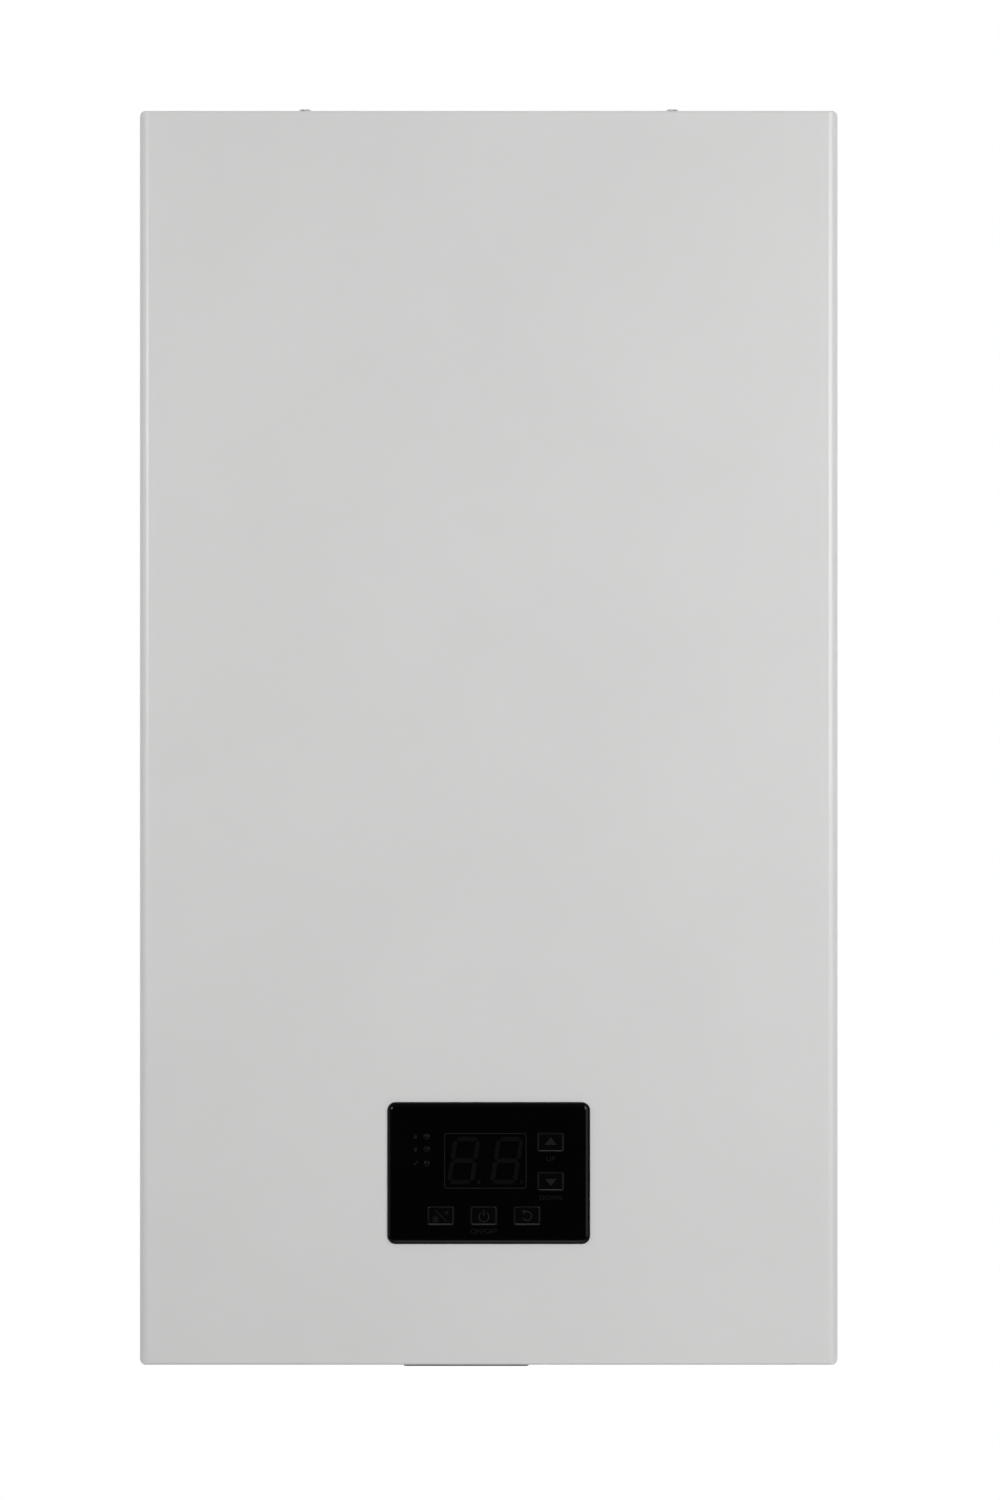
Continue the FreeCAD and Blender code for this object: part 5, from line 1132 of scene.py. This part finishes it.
# Width of the broken edge of each part that is copied, in millimetres
broken_edges = {
    "wall_bracket": 0.3, "control_lid": 0.5, "gas_valve": 0.8, "terminal_box": 0.35,
    "pump_housing": 0.8, "pump_motor": 1.0, "diverter_motor": 0.3, "safety_valve": 0.4,
    "safety_knob": 0.4, "air_vent": 0.4, "vent_cap": 0.3, "filling_knob": 0.4, "drain_cock": 0.6,
    "fan_motor": 1.0, "pressure_switch": 0.6, "plate_exchanger": 0.6, "gas_manifold": 0.4,
    "control_box": 0.5,
}

control_panel()
display_board()
cover_screws()
door_screws_and_nuts()
threaded_nodes()
chamber_door()
gauge_case()
gauge_dial()
fittings()
for name, bevel in broken_edges.items():
    dressed(name, bevel * mm)


# Stage, lights and camera
casing_middle = (casing_low + casing_high) / 2
camera_distance = 3.2
camera_right = 6.3 * mm
camera_down = 6.8 * mm
photo_height_px = 1500
casing_height_px = 1254.3
sensor = 36.0
floor_reach = 2.6
floor_drop = 1.5
floor_glow = 0.38


def make_camera():
    data = bpy.data.cameras.new("camera")
    shown = (casing_high.z - casing_low.z) * photo_height_px / casing_height_px
    data.sensor_width = sensor
    data.lens = sensor * camera_distance / shown
    data.clip_end = 50
    camera = linked("camera", data)
    camera.location = (casing_middle.x + camera_right, casing_low.y - camera_distance,
                       casing_middle.z - camera_down)
    camera.rotation_euler = (math.pi / 2, 0, 0)
    bpy.context.scene.camera = camera


def soft_light(name, place, aim, width, height, power):
    """A lamp with a rectangular face that looks at the aim."""
    data = bpy.data.lights.new(name, "AREA")
    data.shape = "RECTANGLE"
    data.size = width
    data.size_y = height
    data.energy = power
    lamp = linked(name, data)
    lamp.location = place
    lamp.rotation_mode = "QUATERNION"
    lamp.rotation_quaternion = (Vector(aim) - Vector(place)).to_track_quat("-Z", "Y")
    lamp.visible_camera = False


def make_world():
    """White behind the object, and a dim room behind the camera for what the gloss shows."""
    world = bpy.data.worlds.new("studio")
    bpy.context.scene.world = world
    world.use_nodes = True
    tree = world.node_tree
    background = tree.nodes["Background"]
    rays = node(tree, "LightPath").outputs
    heading = node(tree, "TexCoord").outputs["Generated"]
    parts = node(tree, "SeparateXYZ", {"Vector": heading}).outputs
    depth = between(tree, parts["Y"], 0.0, 1.0, -1.0, 1.0)
    room = shades(tree, depth, [(0.0, (0.012,) * 3), (0.16, (0.03,) * 3), (0.45, (0.55,) * 3),
                                (0.6, (1.0,) * 3)])
    ambient = shades(tree, depth, [(0.0, (0.18,) * 3), (0.5, (0.3,) * 3), (1.0, (0.8,) * 3)])
    seen = node(tree, "Math", {0: rays["Is Glossy Ray"], 1: rays["Is Transmission Ray"]},
                operation="MAXIMUM").outputs["Value"]
    mirrored = node(tree, "MixRGB", {"Fac": seen, "Color1": ambient, "Color2": room})
    white = node(tree, "MixRGB", {"Fac": rays["Is Camera Ray"], "Color1": mirrored.outputs["Color"],
                                  "Color2": (1, 1, 1, 1)})
    tree.links.new(white.outputs["Color"], background.inputs["Color"])


def make_floor():
    """A pale floor that takes the object's shadow and looks lit to the camera and in the gloss."""
    data = bpy.data.meshes.new("floor")
    corners = [(*corner, casing_low.z - floor_drop) for corner in rectangle(floor_reach, floor_reach)]
    data.from_pydata(corners, [], [(0, 1, 2, 3)])
    paint = finish("floor_paint", 0.8, 0.0, 0.01, 0.6, 8 * mm, 0.02 * mm, colour=(0.9, 0.9, 0.9))
    tree = paint.node_tree
    rays = node(tree, "LightPath").outputs
    bent = node(tree, "Math", {0: rays["Is Glossy Ray"], 1: rays["Is Transmission Ray"]},
                operation="ADD").outputs["Value"]
    seen = node(tree, "Math", {0: rays["Is Camera Ray"], 1: bent}, operation="ADD").outputs["Value"]
    shader = tree.nodes["Principled BSDF"]
    tree.links.new(between(tree, seen, 0.0, floor_glow, 0.0, 1.0), shader.inputs["Emission Strength"])
    shader.inputs["Emission Color"].default_value = (1, 1, 1, 1)
    data.materials.append(paint)
    linked("floor", data)


bpy.context.scene.view_settings.view_transform = "Standard"
make_camera()
make_world()
make_floor()
front = casing_low.y
soft_light("key", (0.82, front - 1.25, -0.08), (0.0, front, -0.2), 0.3, 0.45, 6.7)
soft_light("fill", (-0.82, front - 1.25, -0.08), (0.0, front, -0.2), 0.18, 0.35, 5.8)
soft_light("side", (0.95, front - 0.9, -0.15), (0.1, front, -0.3), 0.6, 1.4, 6.4)
soft_light("far_side", (-1.1, front - 0.5, -0.15), (-0.1, front, -0.3), 0.8, 1.4, 3.0)
soft_light("room", (0.1, front - 2.6, 1.3), casing_middle, 1.8, 0.8, 1.2)
soft_light("top", (0.0, front - 0.1, 1.5), casing_middle, 0.9, 0.6, 3.8)
soft_light("low", (0.15, front - 0.45, casing_low.z - 0.5), (0.05, front, casing_low.z + 0.1),
           0.5, 0.05, 0.7)
